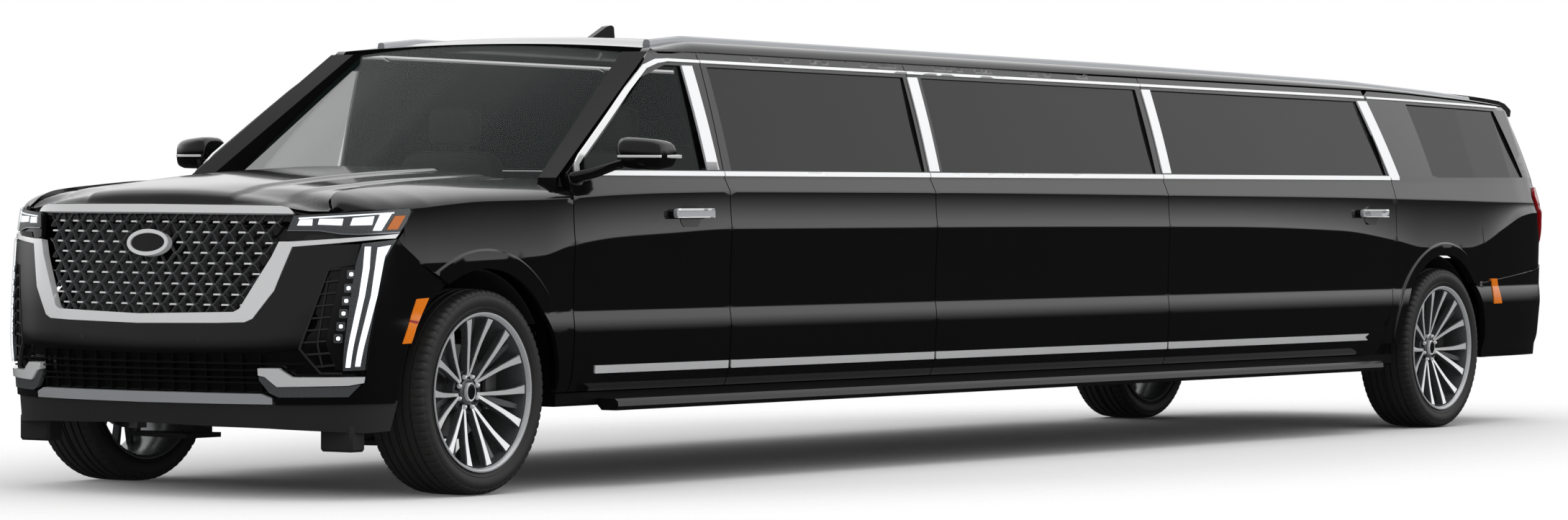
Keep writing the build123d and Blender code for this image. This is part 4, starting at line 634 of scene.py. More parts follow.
frontEdge = [(cutA - halfGap, .395), (cutA - halfGap, 1.283), (cutA - .078, 1.336),
             (cutA - .783, 1.336 + .705 * pillarSlope), (cutA - .83, doorTop(cutA - .83))]
outlines = {
    "front_door": frontEdge + [(x, doorTop(x)) for x in np.linspace(cutA - .87, cutB + halfGap, 4)]
    + [(cutB + halfGap, .395)],
    "first_panel": [(x, doorTop(x)) for x in np.linspace(cutB - halfGap, cutC + halfGap, 7)]
    + [(cutC + halfGap, .395), (cutB - halfGap, .395)],
    "second_panel": [(x, doorTop(x)) for x in np.linspace(cutC - halfGap, cutD + halfGap, 7)]
    + [(cutD + halfGap, .395), (cutC - halfGap, .395)],
    "rear_door": [(x, doorTop(x)) for x in np.linspace(cutD - halfGap, cutPoint(1.72, halfGap), 7)]
    + [(cutPoint(z, halfGap), z) for z in (1.60, 1.45, 1.29, 1.1, .86, .75, .64, .54, .445, .395)]
    + [(cutD - halfGap, .395)],
}
windows = {
    "front_door": [(cutA - .118, 1.296), (cutA - .135, 1.338),
                   (cutA - .40, 1.338 + .265 * pillarSlope),
                   (cutA - .62, 1.338 + .485 * pillarSlope + .012), (cutA - .74, 1.706),
                   (cutA - .84, windowTop(cutA - .84)),
                   (cutB + .135, windowTop(cutB + .135)), (cutB + .100, 1.296)],
    "first_panel": [(cutB - .060, 1.296), (cutB - .045, windowTop(cutB - .06)),
                    (cutC + .035, windowTop(cutC)), (cutC + .035, 1.296)],
    "second_panel": [(cutC - .110, 1.296), (cutC - .110, windowTop(cutC - .11)),
                     (cutD + .055, windowTop(cutD)), (cutD + .055, 1.296)],
    "rear_door": [(cutD - .090, 1.296), (cutD - .090, windowTop(cutD - .09)),
                  (cutE + .120, windowTop(cutE)), (cutE + .035, 1.296)],
}


def skinShape(outline, holes=(), lift=0.0, thick=None, extra=(), rim=.002, rows=None, edge=None,
              spacing=None, material=0):
    return panelShape(sideSurface, sideLoop(outline), [sideLoop(h) for h in holes],
                      rows=sideRows if rows is None else rows,
                      thick=panelSkin["thick"] if thick is None else thick,
                      spacing=spacing or panelSkin["spacing"], edge=edge or panelSkin["edge"],
                      stretch=panelSkin["stretch"], lift=lift, extra=extra, rim=rim,
                      lines=(1.045, 1.207, 1.262, beltHeight, railHeight, .47, .632, .72),
                      material=material)


for part in ("front_door", "rear_door"):
    extra = flareExtra(rearAxle, car["rearFlare"]) if part == "rear_door" else ()
    shape = skinShape(outlines[part], [windows[part]], extra=extra)
    makePiece(f"{part}_skin_left", f"{part}_left", [shape], looks["paint"], f"{part}_left")
    makePiece(f"{part}_skin_right", f"{part}_right", [mirrored(shape)], looks["paint"],
              f"{part}_right")
panels = [skinShape(outlines[p], [windows[p]]) for p in ("first_panel", "second_panel")]
makePiece("side_panel_skins", "body", panels + [mirrored(p) for p in panels], looks["paint"],
          "side_panels")
print("doors and side panels made")

# quarter panels run round the corner of the tail
archEnd = math.degrees(math.asin((.735 - car["hubHeight"]) / car["rearArch"]))
quarterOutline = ([(cutPoint(z, -halfGap), z)
                   for z in (.445, .54, .64, .75, .86, 1.1, 1.29, 1.45, 1.60, 1.70)]
                  + [(x, doorTop(x)) for x in (-3.30, -3.7, -4.1, -4.5, -4.75, roofEnd)]
                  + [(-5.12, 1.655), (-5.13, 1.62), (-5.12, 1.45), (-5.11, 1.25), (-5.105, 1.05),
                     (-5.098, .86), (roofEnd, .80)]
                  + [(rearAxle - .70, .735)]
                  + arcPoints(rearAxle, car["rearArch"], 180 - archEnd, 4, 40))
quarterWindow = [(cutE - .480, 1.296), (cutE - .400, windowTop(-3.7)), (-4.72, windowTop(-4.72)),
                 (-4.86, 1.29), (cutE - .54, 1.286)]
quarter = skinShape(quarterOutline, [quarterWindow], extra=flareExtra(rearAxle, car["rearFlare"]))
makePiece("quarter_skins", "body", [quarter, mirrored(quarter)], looks["paint"], "quarter_panels")
print("quarter panels made")


# fenders: the side turns over the wheel to the hood's edge
hoodEdge = smoothTable([(frontAxle + .86, .795, 1.10), (frontAxle + .69, .783, 1.127),
                        (frontAxle + .645, .742, 1.180), (frontAxle + .58, .724, 1.203),
                        (frontAxle + .30, .752, 1.225), (frontAxle, .775, 1.242),
                        (cutA, .797, 1.258)])
planTable = smoothTable([(0, 0, 0), (.30, .300, .015), (.59, .588, .065), (.87, .846, .190),
                         (1.055, .950, .335), (1.20, .990, .475), (1.29, .999, .563),
                         (1.40, 1.002, .673)])
setbackTable = smoothTable([(.15, .040), (.275, .028), (.40, .014), (.572, 0), (.70, .012),
                            (1.06, .072), (1.15, .092), (1.3, .12)])


def noseSurface(w, z):
    w, z = np.broadcast_arrays(np.asarray(w, float), np.asarray(z, float))
    y, back = planTable(np.abs(w))
    back = back * (1 + .22 * np.clip((1 - z) / .5, 0, 1))
    side = step(1.0, 1.25, np.abs(w))
    y = y - side * (profile(z) - .004) * .8
    return stack(car["noseX"] - setbackTable(z)[0] - back, y * np.sign(w), z)


def fenderSurface(u, w):
    u, w = np.broadcast_arrays(np.asarray(u, float), np.asarray(w, float))
    inset = np.interp(u, frontAxle + np.array([-.6, 0, .2, .36, .44, .50, .58, .64, .70, .715]),
                      [.004, .012, .018, .031, .058, .072, .115, .17, .28, .305])
    shoulder = creaseTable(u)[1]
    low = np.minimum(w, 1.207)
    z = sideHeight(u, low)
    y = car["halfWidth"] - inset - profile(low) + flare(u, z)
    edgeY, edgeZ = hoodEdge(u)
    t = np.clip((w - 1.207) / .293, 0, 1)
    wall = car["halfWidth"] - inset
    y1, z1 = wall - .030 * np.clip((wall - edgeY) / .10, 0, 1), shoulder + .6 * (edgeZ - shoulder)
    yTop = (1 - t) ** 2 * (wall - .0105) + 2 * t * (1 - t) * y1 + t * t * (edgeY + .006)
    zTop = (1 - t) ** 2 * shoulder + 2 * t * (1 - t) * z1 + t * t * edgeZ
    over = w > 1.207
    return stack(u, np.where(over, yTop, y), np.where(over, zTop, z))


def fenderRow(x, z):
    return sideRow(x, z) if z < float(creaseTable(np.array(x))[1]) else 1.207


fenderSplit = [(frontAxle + .345, .903), (frontAxle + .483, 1.017), (frontAxle + .455, 1.047)]
fenderLoop = [(cutA + halfGap, fenderRow(cutA, .395))]
fenderLoop += [(x, fenderRow(x, z))
               for x, z in arcPoints(frontAxle, car["frontArch"], 181.8, 61.6, 44)]
fenderLoop += [(x, fenderRow(x, z)) for x, z in fenderSplit]
fenderLoop += [(frontAxle + .452, 1.10), (frontAxle + .452, 1.205), (frontAxle + .58, 1.207),
               (frontAxle + .681, 1.208)]
fenderLoop += [(frontAxle + .678, 1.5), (cutA + .02, 1.5), (cutA + halfGap, 1.5),
               (cutA + halfGap, 1.3), (cutA + halfGap, 1.21)]
fenderRows = [r for r in sideRows if r < 1.21] + [1.2115, 1.23, 1.26, 1.29, 1.32, 1.35, 1.38, 1.41,
                                                  1.44, 1.47]
fender = panelShape(fenderSurface, fenderLoop, rows=fenderRows, thick=.02, stretch=2.0, spacing=.04,
                    extra=flareExtra(frontAxle, car["frontFlare"]), lines=(1.045, 1.207))
makePiece("fender_skins", "body", [fender, mirrored(fender)], looks["paint"], "fenders")
print("fenders made")

# hood, u back from its front edge and v across
hood = {"thick": .018, "powerDome": .010, "outerStep": .007, "lip": 1.153, "back": .006}
hoodMiddle = smoothTable([(frontAxle + .84, 1.200), (frontAxle + .62, 1.228), (frontAxle, 1.280),
                          (cutA, 1.308), (cutA - .1, 1.311)])
hoodRear = smoothTable([(0, cutA + .145), (.30, cutA + .13), (.60, cutA + .07), (.80, cutA + .04)])
lipFall = smoothTable([(0, 0), (.56, .004), (.66, .020), (.72, .028), (.80, .028)])
hoodDrop = smoothTable([(-.02, 1), (0, 1), (.006, .72), (.016, .36), (.03, .15), (.05, .05),
                        (.09, 0), (2, 0)])


def hoodTop(x, y):
    a = abs(y)
    edgeY, edgeZ = [float(v) for v in hoodEdge(x)]
    share = min(a / edgeY, 1.1)
    z = edgeZ + (float(hoodMiddle(x)[0]) - edgeZ) * (1 - share ** 2.4)
    run = float(step(cutA, frontAxle + .7, x))
    z += hood["powerDome"] * (1 - float(step(.385 - .03 * run, .412 - .03 * run, a)))
    return z + hood["outerStep"] * (1 - float(step(.595 - .02 * run, .622 - .02 * run, a))) - .013


hoodShares = [0, .08, .16, .24, .32, .38, .42, .44, .455, .47, .485, .50, .515, .53, .55, .58, .62,
              .66, .70, .72, .735, .75, .765, .78, .80, .83, .86, .90, .93, .96, .98, 1]
hoodSteps = [0, .002, .006, .011, .016, .022, .03, .04, .05, .065, .09, .13, .18, .25, .33, .42,
             .52, .62, .73, .84, .95, 1.06, 1.15]
hoodGrid = []
for share in [-v for v in hoodShares[:0:-1]] + hoodShares:
    ends = [float(v) for v in noseSurface(np.array([abs(share) * .785]), np.array([1.15]))[0]]
    frontX, frontY = ends[0] - hood["back"], abs(share) * float(hoodEdge(ends[0])[0])
    length = frontX - float(hoodRear(frontY)[0])
    lipZ = hood["lip"] - float(lipFall(frontY)[0])
    topZ = hoodTop(frontX, frontY)
    column = []
    for d in hoodSteps:
        x = frontX - d * length / 1.15
        y = share * (float(hoodEdge(x)[0]) - .004)
        column.append((x, y, hoodTop(x, y) + (lipZ - topZ) * float(hoodDrop(d)[0])))
    thin = .04 if abs(share) == 1 else 1
    under = [(x - .014 * (k == 0), y, z - hood["thick"] * (.1 if k == 0 else 1) * thin)
             for k, (x, y, z) in enumerate(column)]
    hoodGrid.append(column + under[::-1])
hoodShape = gridShape(hoodGrid, wrapCols=True, caps=True)
makePiece("hood_skin", "hood", [hoodShape], looks["paint"], "hood", turnOut=True)
print("hood made")


# roof, u along and v across from edge to edge
def roofSurface(u, v):
    u, v = np.broadcast_arrays(np.asarray(u, float), np.asarray(v, float))
    inset, top, rise, shoulder, crown = bodyTable(u)
    q = 1 - np.abs(v)
    y0, z0 = car["halfWidth"] - inset - .196, top + rise + .008
    y1, z1 = car["halfWidth"] - inset - .255, top + shoulder
    t = np.clip(q / .14, 0, 1)
    s = np.clip((q - .14) / .86, 0, 1)
    y = np.where(q < .14, y0 - (y0 - y1) * (1 - np.cos(t * math.pi / 2)), y1 * (1 - s))
    z = np.where(q < .14, z0 + (z1 - z0) * np.sin(t * math.pi / 2),
                 z1 + (crown - shoulder) * (1 - (1 - s) ** 2))
    return stack(u, y * np.sign(v), z)


roofRows = [s * v for s in (-1, 1)
            for v in (0, .1, .2, .3, .4, .5, .6, .7, .78, .84, .865, .88, .90, .92, .94, .96, .98)]
roofFrontLine = [(2.921, 0), (2.926, .3), (2.938, .6), (2.952, .86), (2.957, 1)]
roofWhole = ([(x, -v) for x, v in roofFrontLine[::-1]] + roofFrontLine[1:]
             + [(x, 1) for x in np.linspace(2.6, roofEnd, 30)]
             + [(roofEnd, s) for s in (.8, .4, 0, -.4, -.8)]
             + [(x, -1) for x in np.linspace(roofEnd, 2.6, 30)])
roofShape = panelShape(roofSurface, roofWhole, rows=sorted(set(roofRows)), spacing=.10, edge=.06,
                       thick=.03, out=(0, 0, 1), stretch=1.0)
makePiece("roof_skin", "body", [roofShape], looks["paint"], "roof")


# windshield
screen = {"lowHalf": .836, "highHalf": .704, "low": 1.205, "height": .618, "fall": .036,
          "bow": .016}
glassLow = smoothTable([(0, .198), (.400, .150), (.700, .040), (.836, -.022)])
glassHigh = smoothTable([(0, -.764), (.400, -.768), (.640, -.776), (.704, -.783)])


def windshieldSurface(u, v):
    u, v = np.broadcast_arrays(np.asarray(u, float), np.asarray(v, float))
    a = np.abs(u)
    lowX, highX = glassLow(a * screen["lowHalf"])[0], glassHigh(a * screen["highHalf"])[0]
    z = screen["low"] + v * (screen["height"] - screen["fall"] * a ** 2.2)
    x = cutA + lowX * (1 - v) + highX * v + screen["bow"] * np.sin(v * math.pi)
    return stack(x, u * (screen["lowHalf"] * (1 - v) + screen["highHalf"] * v), z)


windshieldShape = panelShape(windshieldSurface, [(-1, 0), (1, 0), (1, 1), (-1, 1)], spacing=.06,
                             edge=.05, thick=.006, out=(1, 0, .5))
makePiece("windshield_pane", "body", [windshieldShape], looks["clearGlass"], "windshield")
print("roof and windshield made")

# bright trim along the sides
trim = {"lift": .006, "thick": .010, "round": .003}
chrome = looks["chrome"]


def stripShape(points, lift=None, thick=trim["thick"], material=0, edge=.05):
    return skinShape(points, lift=trim["lift"] if lift is None else lift, thick=thick,
                     rim=trim["round"], rows=[1.281, .483], edge=edge, spacing=.2,
                     material=material)


def band(x0, x1, low, high, count=6):
    xs = np.linspace(x0, x1, count)
    return [(x, low) for x in xs] + [(x, high) for x in xs[::-1]]


def topBand(x0, x1, low, high, count=6):
    xs = np.linspace(x0, x1, count)
    return [(x, topOf(x) + low) for x in xs] + [(x, topOf(x) + high) for x in xs[::-1]]


trims = {
    "front_door": [band(cutA - .10, cutB + halfGap, 1.271, 1.291),
                   topBand(cutA - .86, cutB + halfGap, .006, .018, 3),
                   [(cutA - .060, 1.262), (cutA - .049, 1.288), (cutA - .056, 1.318),
                    (cutA - .10, 1.358), (cutA - .30, 1.358 + .20 * pillarSlope),
                    (cutA - .52, 1.358 + .42 * pillarSlope), (cutA - .68, 1.733),
                    (cutA - .78, 1.757), (cutA - .87, topOf(cutA - .87) + .018),
                    (cutA - .87, topOf(cutA - .87) + .006), (cutA - .79, 1.741),
                    (cutA - .70, 1.718), (cutA - .53, 1.336 + .42 * pillarSlope),
                    (cutA - .31, 1.335 + .20 * pillarSlope), (cutA - .12, 1.342),
                    (cutA - .084, 1.315), (cutA - .080, 1.291), (cutA - .092, 1.271)],
                   [(2.6845, 1.297), (2.765, 1.297), (2.793, windowTop(2.75)),
                    (2.716, windowTop(2.75))]],
    "first_panel": [band(cutB - halfGap, cutC + halfGap, 1.271, 1.291),
                    topBand(cutB - halfGap, cutC + halfGap, .006, .018)],
    "second_panel": [band(cutC - halfGap, cutD + halfGap, 1.271, 1.291),
                     topBand(cutC - halfGap, cutD + halfGap, .006, .018)],
    "rear_door": [band(cutD - halfGap, cutE + .004, 1.271, 1.291, 9),
                  topBand(cutD - halfGap, cutE + .05, .006, .018)],
}
bodyTrims = trims["first_panel"] + trims["second_panel"]
for x in (1.0075, -1.0325):
    bodyTrims.append([(x - .04, 1.297), (x + .04, 1.297), (x + .045, windowTop(x)),
                      (x - .035, windowTop(x))])
bodyTrims.append([(-3.270, 1.297), (-3.292, 1.271), (-3.372, 1.271), (-3.378, 1.285),
                  (-3.243, windowTop(-3.2)), (-3.143, windowTop(-3.2))])
bodyTrims.append([(x, topOf(x) + .006) for x in (-3.26, -3.6, -4.0, -4.4, -4.8)]
                 + [(x, topOf(x) + .016) for x in (-4.8, -4.4, -4.0, -3.6, -3.26)])


lowerTrims = {"front_door": [band(cutA - .15, cutB + .012, .467, .499, 4)],
              "body": [band(cutB - .012, cutC + .01, .467, .499, 5),
                       band(cutC - .01, cutD + .01, .467, .499, 5)],
              "rear_door": [[(x, .467) for x in np.linspace(cutD - .01, -2.99, 6)]
                            + [(-2.96, .483), (-3.0, .499)]
                            + [(x, .499) for x in np.linspace(-3.1, cutD - .01, 6)]]}
for part in ("front_door", "rear_door"):
    pieces = [stripShape(p) for p in trims[part] + lowerTrims[part]]
    makePiece(f"{part}_trim_left", f"{part}_left", pieces, chrome)
    makePiece(f"{part}_trim_right", f"{part}_right", [mirrored(p) for p in pieces], chrome)
pieces = [stripShape(p) for p in bodyTrims + lowerTrims["body"]]
makePiece("body_side_trim", "body", pieces + [mirrored(p) for p in pieces], chrome)
print("side trim made")


# door handles
handles = {"front_door": (cutA - .805, 1.116), "rear_door": (-3.01, 1.104)}


def handleShapes(x, z, length=.275):
    a, b = x - length / 2, x + length / 2
    cup = [(x - .07, z - .036), (x - .05, z - .056), (x + .05, z - .056), (x + .07, z - .036),
           (x + .075, z + .02), (x + .04, z + .034), (x - .04, z + .034), (x - .075, z + .02)]
    bar = [(a, z - .012), (a + .01, z - .02), (b - .01, z - .02), (b, z - .012), (b, z + .010),
           (b - .01, z + .018), (a + .01, z + .018), (a, z + .010)]
    top = [(a + .004, z + .010), (b - .004, z + .010), (b - .010, z + .019), (a + .010, z + .019)]
    low = [(a + .006, z - .0205), (b - .006, z - .0205), (b - .004, z - .0165),
           (a + .004, z - .0165)]
    fine = {"rows": [], "edge": .012, "spacing": .1}
    return [skinShape(cup, lift=.002, thick=.004, rim=.001, material=1, **fine),
            skinShape(bar, lift=.034, thick=.018, rim=.005, material=2, **fine),
            skinShape(top, lift=.037, thick=.012, rim=.003, material=0, **fine),
            skinShape(low, lift=.036, thick=.01, rim=.002, material=0, **fine),
            skinShape([(a + .01, z - .012), (a + .035, z - .012), (a + .035, z + .01),
                       (a + .01, z + .01)], lift=.02, thick=.02, material=1, **fine),
            skinShape([(b - .035, z - .012), (b - .01, z - .012), (b - .01, z + .01),
                       (b - .035, z + .01)], lift=.02, thick=.02, material=1, **fine)]


for part, (x, z) in handles.items():
    pieces = handleShapes(x, z)
    handleLooks = [chrome, looks["glossBlack"], looks["satinSilver"]]
    makePiece(f"{part}_handle_left", f"{part}_left", pieces, handleLooks)
    makePiece(f"{part}_handle_right", f"{part}_right", [mirrored(p) for p in pieces], handleLooks)
print("handles made")


# wheels
wheel = {"treadBlocks": 72, "shoulderCut": .0055, "ribCut": .003, "spokePairs": 7,
         "pairSpread": 13.5, "nuts": 8, "nutCircle": .064}


# a profile of (outward, radius) turned about the wheel's axle
def lathe(profileRows, place, count=96, wave=None, material=0, stripMaterials=None, close=True):
    angles = np.linspace(0, 2 * math.pi, count, endpoint=False)
    grid = []
    for k, a in enumerate(angles):
        row = []
        for o, r in profileRows:
            rr = r if wave is None else wave(k, o, r)
            row.append((place[0] + rr * math.cos(a), place[1] + o, place[2] + rr * math.sin(a)))
        grid.append(row)
    return gridShape(grid, wrapRows=True, wrapCols=close, material=material,
                     stripMaterials=stripMaterials)


def tyreShape(place):
    half = [(.1178, .306), (.126, .3125), (.131, .322), (.1365, .3345), (.138, .336), (.1365, .338),
            (.1405, .350), (.1425, .362), (.1418, .374), (.1385, .384), (.1375, .3855),
            (.1372, .390), (.1335, .3965), (.128, .4015), (.119, .4055), (.100, .4077),
            (.088, .4085), (.0865, .4015), (.0785, .4015), (.077, .4089), (.050, .4097),
            (.0485, .4025), (.0395, .4025), (.038, .4099), (.0125, .41), (.011, .4028),
            (.003, .4028), (.0015, .41)]
    rows = half + [(-o, r) for o, r in half[::-1]] + [(-.110, .303), (.110, .303)]
    total = wheel["treadBlocks"] * 4

    def wave(k, o, r):
        phase = k % 4
        if phase == 3 and .094 < abs(o) < .1395 and r > .383:
            return r - wheel["shoulderCut"]
        if phase == 1 and (.05 < abs(o) < .077 or .013 < abs(o) < .038) and r > .407:
            return r - wheel["ribCut"]
        return r
    return lathe(rows, place, total, wave)


# one spoke from the hub to the rim; the face is bright and its flanks are dark
def spokeShapes(place, angle, spread, middle=False):
    radii = [.060, .082, .11, .15, .20, .245, .278, .296]
    if middle:
        offsets = [0] * 8
        widths = [.014, .018, .023, .028, .030, .028, .024, .022]
        faces = [.030, .034, .040, .050, .062, .073, .082, .086]
    else:
        offsets = [.30, .42, .58, .70, .80, .90, .97, 1.0]
        widths = [.014, .0155, .0175, .020, .023, .028, .035, .042]
        faces = [.058, .066, .072, .081, .093, .105, .114, .118]
    grid = []
    for r, share, width, face in zip(radii, offsets, widths, faces):
        a = math.radians(angle + spread * share)
        across = np.array([-math.sin(a), 0, math.cos(a)])
        centre = np.array([r * math.cos(a), 0, r * math.sin(a)]) + np.array(place)
        depth = .034 if not middle else .026
        row = []
        for o, w in ((face - .0035, -.5), (face, -.5 + .1), (face, .5 - .1), (face - .0035, .5),
                     (face - depth, .36), (face - depth, -.36)):
            row.append(centre + across * width * w + np.array([0, o, 0]))
        grid.append(row)
    bright = [2, 0, 2, 2, 2, 2] if not middle else [2] * 6
    return gridShape(grid, wrapCols=True, caps=True, stripMaterials=bright)


def rimShapes(place):
    shapes = []
    lip = [(.1375, .3175), (.1375, .3115), (.134, .3068), (.128, .3035), (.122, .301),
           (.122, .3045), (.130, .313), (.133, .318)]
    shapes.append(lathe(lip, place, 120, material=1))
    barrel = [(.122, .301), (.10, .2955), (.05, .291), (-.02, .288), (-.09, .292), (-.128, .302),
              (-.1375, .314), (-.1375, .318), (-.125, .308), (-.08, .298), (0, .294), (.08, .3),
              (.122, .3045)]
    shapes.append(lathe(barrel, place, 96, material=2))
    for k in range(wheel["spokePairs"]):
        angle = 90 + 360 / wheel["spokePairs"] * k
        for s in (-1, 1):
            shapes.append(spokeShapes(place, angle, s * wheel["pairSpread"]))
        shapes.append(spokeShapes(place, angle, 0, True))
    hub = [(.062, .034), (.0625, .047), (.060, .052), (.046, .056), (.044, .060), (.044, .072),
           (.050, .078), (.0555, .083), (.05, .088), (.02, .09), (.02, .03), (.03, .0)]
    shapes.append(lathe(hub, place, 72, material=2, close=False))
    for k in range(wheel["nuts"]):
        a = math.radians(22.5 + 360 / wheel["nuts"] * k)
        x, z = wheel["nutCircle"] * math.cos(a), wheel["nutCircle"] * math.sin(a)
        at = (place[0] + x, place[1], place[2] + z)
        nut = [(.046, .0), (.046, .0115), (.052, .0115), (.066, .0085), (.070, .006), (.0715, .0)]
        shapes.append(lathe(nut, at, 12, material=0, close=False))
        cup = [(.046, .0165), (.058, .0165), (.060, .0145), (.058, .0125), (.047, .0125)]
        shapes.append(lathe(cup, at, 20, material=3, close=False))
    cap = [(.060, .0), (.0735, .0), (.0745, .008), (.0745, .022), (.073, .026), (.0765, .028),
           (.077, .031), (.074, .0335), (.062, .034)]
    turn = lathe(cap[2:], place, 60, material=0, stripMaterials=[3, 3, 3, 0, 0, 0], close=False)
    face = lathe([(.0746, .0), (.0746, .010), (.0745, .022)], place, 60, material=3, close=False)
    for shape in (turn, face):
        verts = shape[0].copy()
        verts[:, 0] = place[0] + (verts[:, 0] - place[0]) * .86
        verts[:, 2] = place[2] + (verts[:, 2] - place[2]) * 1.12
        shapes.append((verts, shape[1], None, shape[3]))
    disc = [(-.002, .09), (-.002, .188), (-.004, .19), (-.020, .19), (-.022, .188), (-.022, .09)]
    shapes.append(lathe(disc, place, 96, material=4))
    bell = [(-.002, .092), (.022, .086), (.03, .08), (.03, .03)]
    shapes.append(lathe(bell, place, 60, material=2, close=False))
    return shapes


rimLooks = [chrome, looks["alloyBright"], looks["alloyDark"], looks["glossBlack"], looks["steel"]]
for end, x in (("front", frontAxle), ("rear", rearAxle)):
    place = (x, car["hubY"], car["hubHeight"])
    tyre = tyreShape(place)
    rim = rimShapes(place)
    for side in ("left", "right"):
        turn = (lambda s: s) if side == "left" else mirrored
        makePiece(f"{end}_tyre_{side}_tread", f"{end}_wheel_{side}", [turn(tyre)], looks["rubber"],
                  f"{end}_tyre_{side}", angle=24)
        makePiece(f"{end}_wheel_{side}_alloy", f"{end}_wheel_{side}", [turn(s) for s in rim],
                  rimLooks, f"{end}_rim_{side}", angle=28)
print("wheels made")


# nose, w across and z up
def noseShape(points, holes=(), lift=0.0, thick=.014, rim=.002, spacing=.04, edge=.025, material=0,
              whole=False, rows=None):
    loop = [(w / 1000, z / 1000) for w, z in points]
    if whole:
        loop = loop + [(-w, z) for w, z in loop[::-1] if w > 0]
    gaps = [[(w / 1000, z / 1000) for w, z in h] for h in holes]
    return panelShape(noseSurface, loop, gaps, spacing=spacing, rows=rows, edge=edge, thick=thick,
                      lift=lift, rim=rim, out=(1, 0, 0) if whole else (.7, .7, 0),
                      material=material,
                      extra=[[(0, z) for z in np.arange(.25, 1.2, .015)]] if whole else ())


def bothSides(shapes):
    return list(shapes) + [mirrored(s) for s in shapes]


def wAtX(x, z):
    ws = np.linspace(.2, 1.4, 500)
    return float(np.interp(-x, -noseSurface(ws, np.full_like(ws, z))[:, 0], ws)) * 1000


archSide = []
for z in (839, 780, 720, 660, 600, 540, 480, 430, 380):
    rise = z / 1000 - car["hubHeight"]
    reach = math.sqrt(max(car["frontArch"] ** 2 - rise ** 2, 0))
    archSide.append((wAtX(frontAxle + reach, z / 1000), z))
corner = [(1090, 1014), (1097, 1009), (1245, 896)] + archSide
corner += [(620, 374), (616, 402), (886, 404), (948, 458), (960, 510), (1034, 930)]
middlePanel = [(0, 567), (600, 578), (716, 594), (811, 903), (862, 912), (918, 920), (929, 1000),
               (800, 996), (672, 989), (612, 817), (532, 712), (500, 700), (0, 689)]
bumperShapes = bothSides([noseShape(corner, thick=.016, spacing=.03)])
bumperShapes.append(noseShape(middlePanel, whole=True, thick=.016))
makePiece("front_bumper_skin", "body", bumperShapes, looks["paint"], "front_bumper")

valance = [(0, 384), (1085, 388), (1040, 272), (950, 264), (575, 280), (0, 292)]
skidPlate = [(0, 416), (560, 416), (606, 400), (606, 376), (0, 374)]
valanceShape = noseShape(valance, whole=True, thick=.02, lift=-.010)
plateShape = noseShape(skidPlate, whole=True, thick=.02, lift=.0, material=1)
deep = noseShape([(0, 572), (712, 588), (792, 500), (884, 507), (948, 500), (900, 452), (640, 440),
                  (600, 415), (0, 415)], whole=True, lift=-.035, thick=.01, material=2)
deepLow = noseShape([(0, 352), (1070, 352), (1070, 462), (0, 462)], whole=True, lift=-.040,
                    thick=.01, material=2)
barShapes = [noseShape([(0, z), (w, z), (w, z + 7), (0, z + 7)], whole=True, lift=-.006, thick=.02,
                       material=2, spacing=.1)
             for z, w in ((455, 610), (475, 640), (503, 700), (530, 730))]
for x0 in range(-560, 561, 80):
    a, b = x0 / 1000 - .003, x0 / 1000 + .003
    barShapes.append(panelShape(noseSurface, [(a, .42), (b, .42), (b, .57), (a, .57)], spacing=.1,
                                lift=-.016, thick=.014, out=(1, 0, 0), material=2))
makePiece("lower_intake", "body", [valanceShape, plateShape, deep, deepLow] + barShapes,
          [looks["blackPlastic"], looks["satinSilver"], looks["glossBlack"]], "lower_grille")


# a block with chamfered edges
def slab(low, high, bevel=.006, material=0):
    low, high = np.array(low, float), np.array(high, float)
    rows = []
    for x, inset in ((low[0], bevel), (low[0] + bevel, 0), (high[0] - bevel, 0), (high[0], bevel)):
        y0, y1, z0, z1 = low[1] + inset, high[1] - inset, low[2] + inset, high[2] - inset
        b = bevel
        rows.append([(x, y0 + b, z0), (x, y1 - b, z0), (x, y1, z0 + b), (x, y1, z1 - b),
                     (x, y1 - b, z1), (x, y0 + b, z1), (x, y0, z1 - b), (x, y0, z0 + b)])
    return gridShape(rows, wrapCols=True, caps=True, material=material)


blocks = [slab((4.90, .70, .19), (4.99, .86, .30), .01)]
makePiece("nose_tow_blocks", "body", bothSides(blocks), looks["blackPlastic"],
          turnOut=True)
print("bumper made")

# chrome frame of the grille, strips under the lamps, bright elbows
frameBar = [(0, 1150), (400, 1148), (600, 1146), (632, 1140), (650, 1126), (657, 1116), (0, 1118)]
frameRing = [(0, 684), (380, 690), (498, 694), (530, 708), (612, 817), (667, 988), (1017, 1020),
             (1075, 1022), (1088, 1040), (1016, 1033), (666, 1008), (614, 1007), (590, 950),
             (472, 745), (448, 733), (0, 721)]
elbow = [(560, 517), (642, 517), (690, 483), (949, 485), (944, 462), (889, 452), (632, 446),
         (588, 484), (560, 490)]
elbowLow = [(560, 486), (588, 480), (632, 443), (889, 448), (935, 455), (886, 407), (635, 404),
            (600, 420), (560, 470)]
rimmed = {"lift": .006, "thick": .03, "rim": .004, "spacing": .03}
frameShapes = [noseShape(frameBar, whole=True, **rimmed),
               noseShape(frameRing, whole=True, **rimmed)]
makePiece("grille_frame_chrome", "body", frameShapes, chrome, "grille_surround")
elbowShapes = bothSides([noseShape(elbow, lift=.012, thick=.03, rim=.006, spacing=.03),
                         noseShape(elbowLow, lift=.004, thick=.02, rim=.004, material=1,
                                   spacing=.03)])
makePiece("bumper_elbows", "body", elbowShapes, [chrome, looks["alloyDark"]])

# grille: rows of six-sided cells
cells = {"rows": 10, "low": .742, "pitch": .0405, "width": .083, "reach": .0185, "barHigh": .0044,
         "depth": .022}


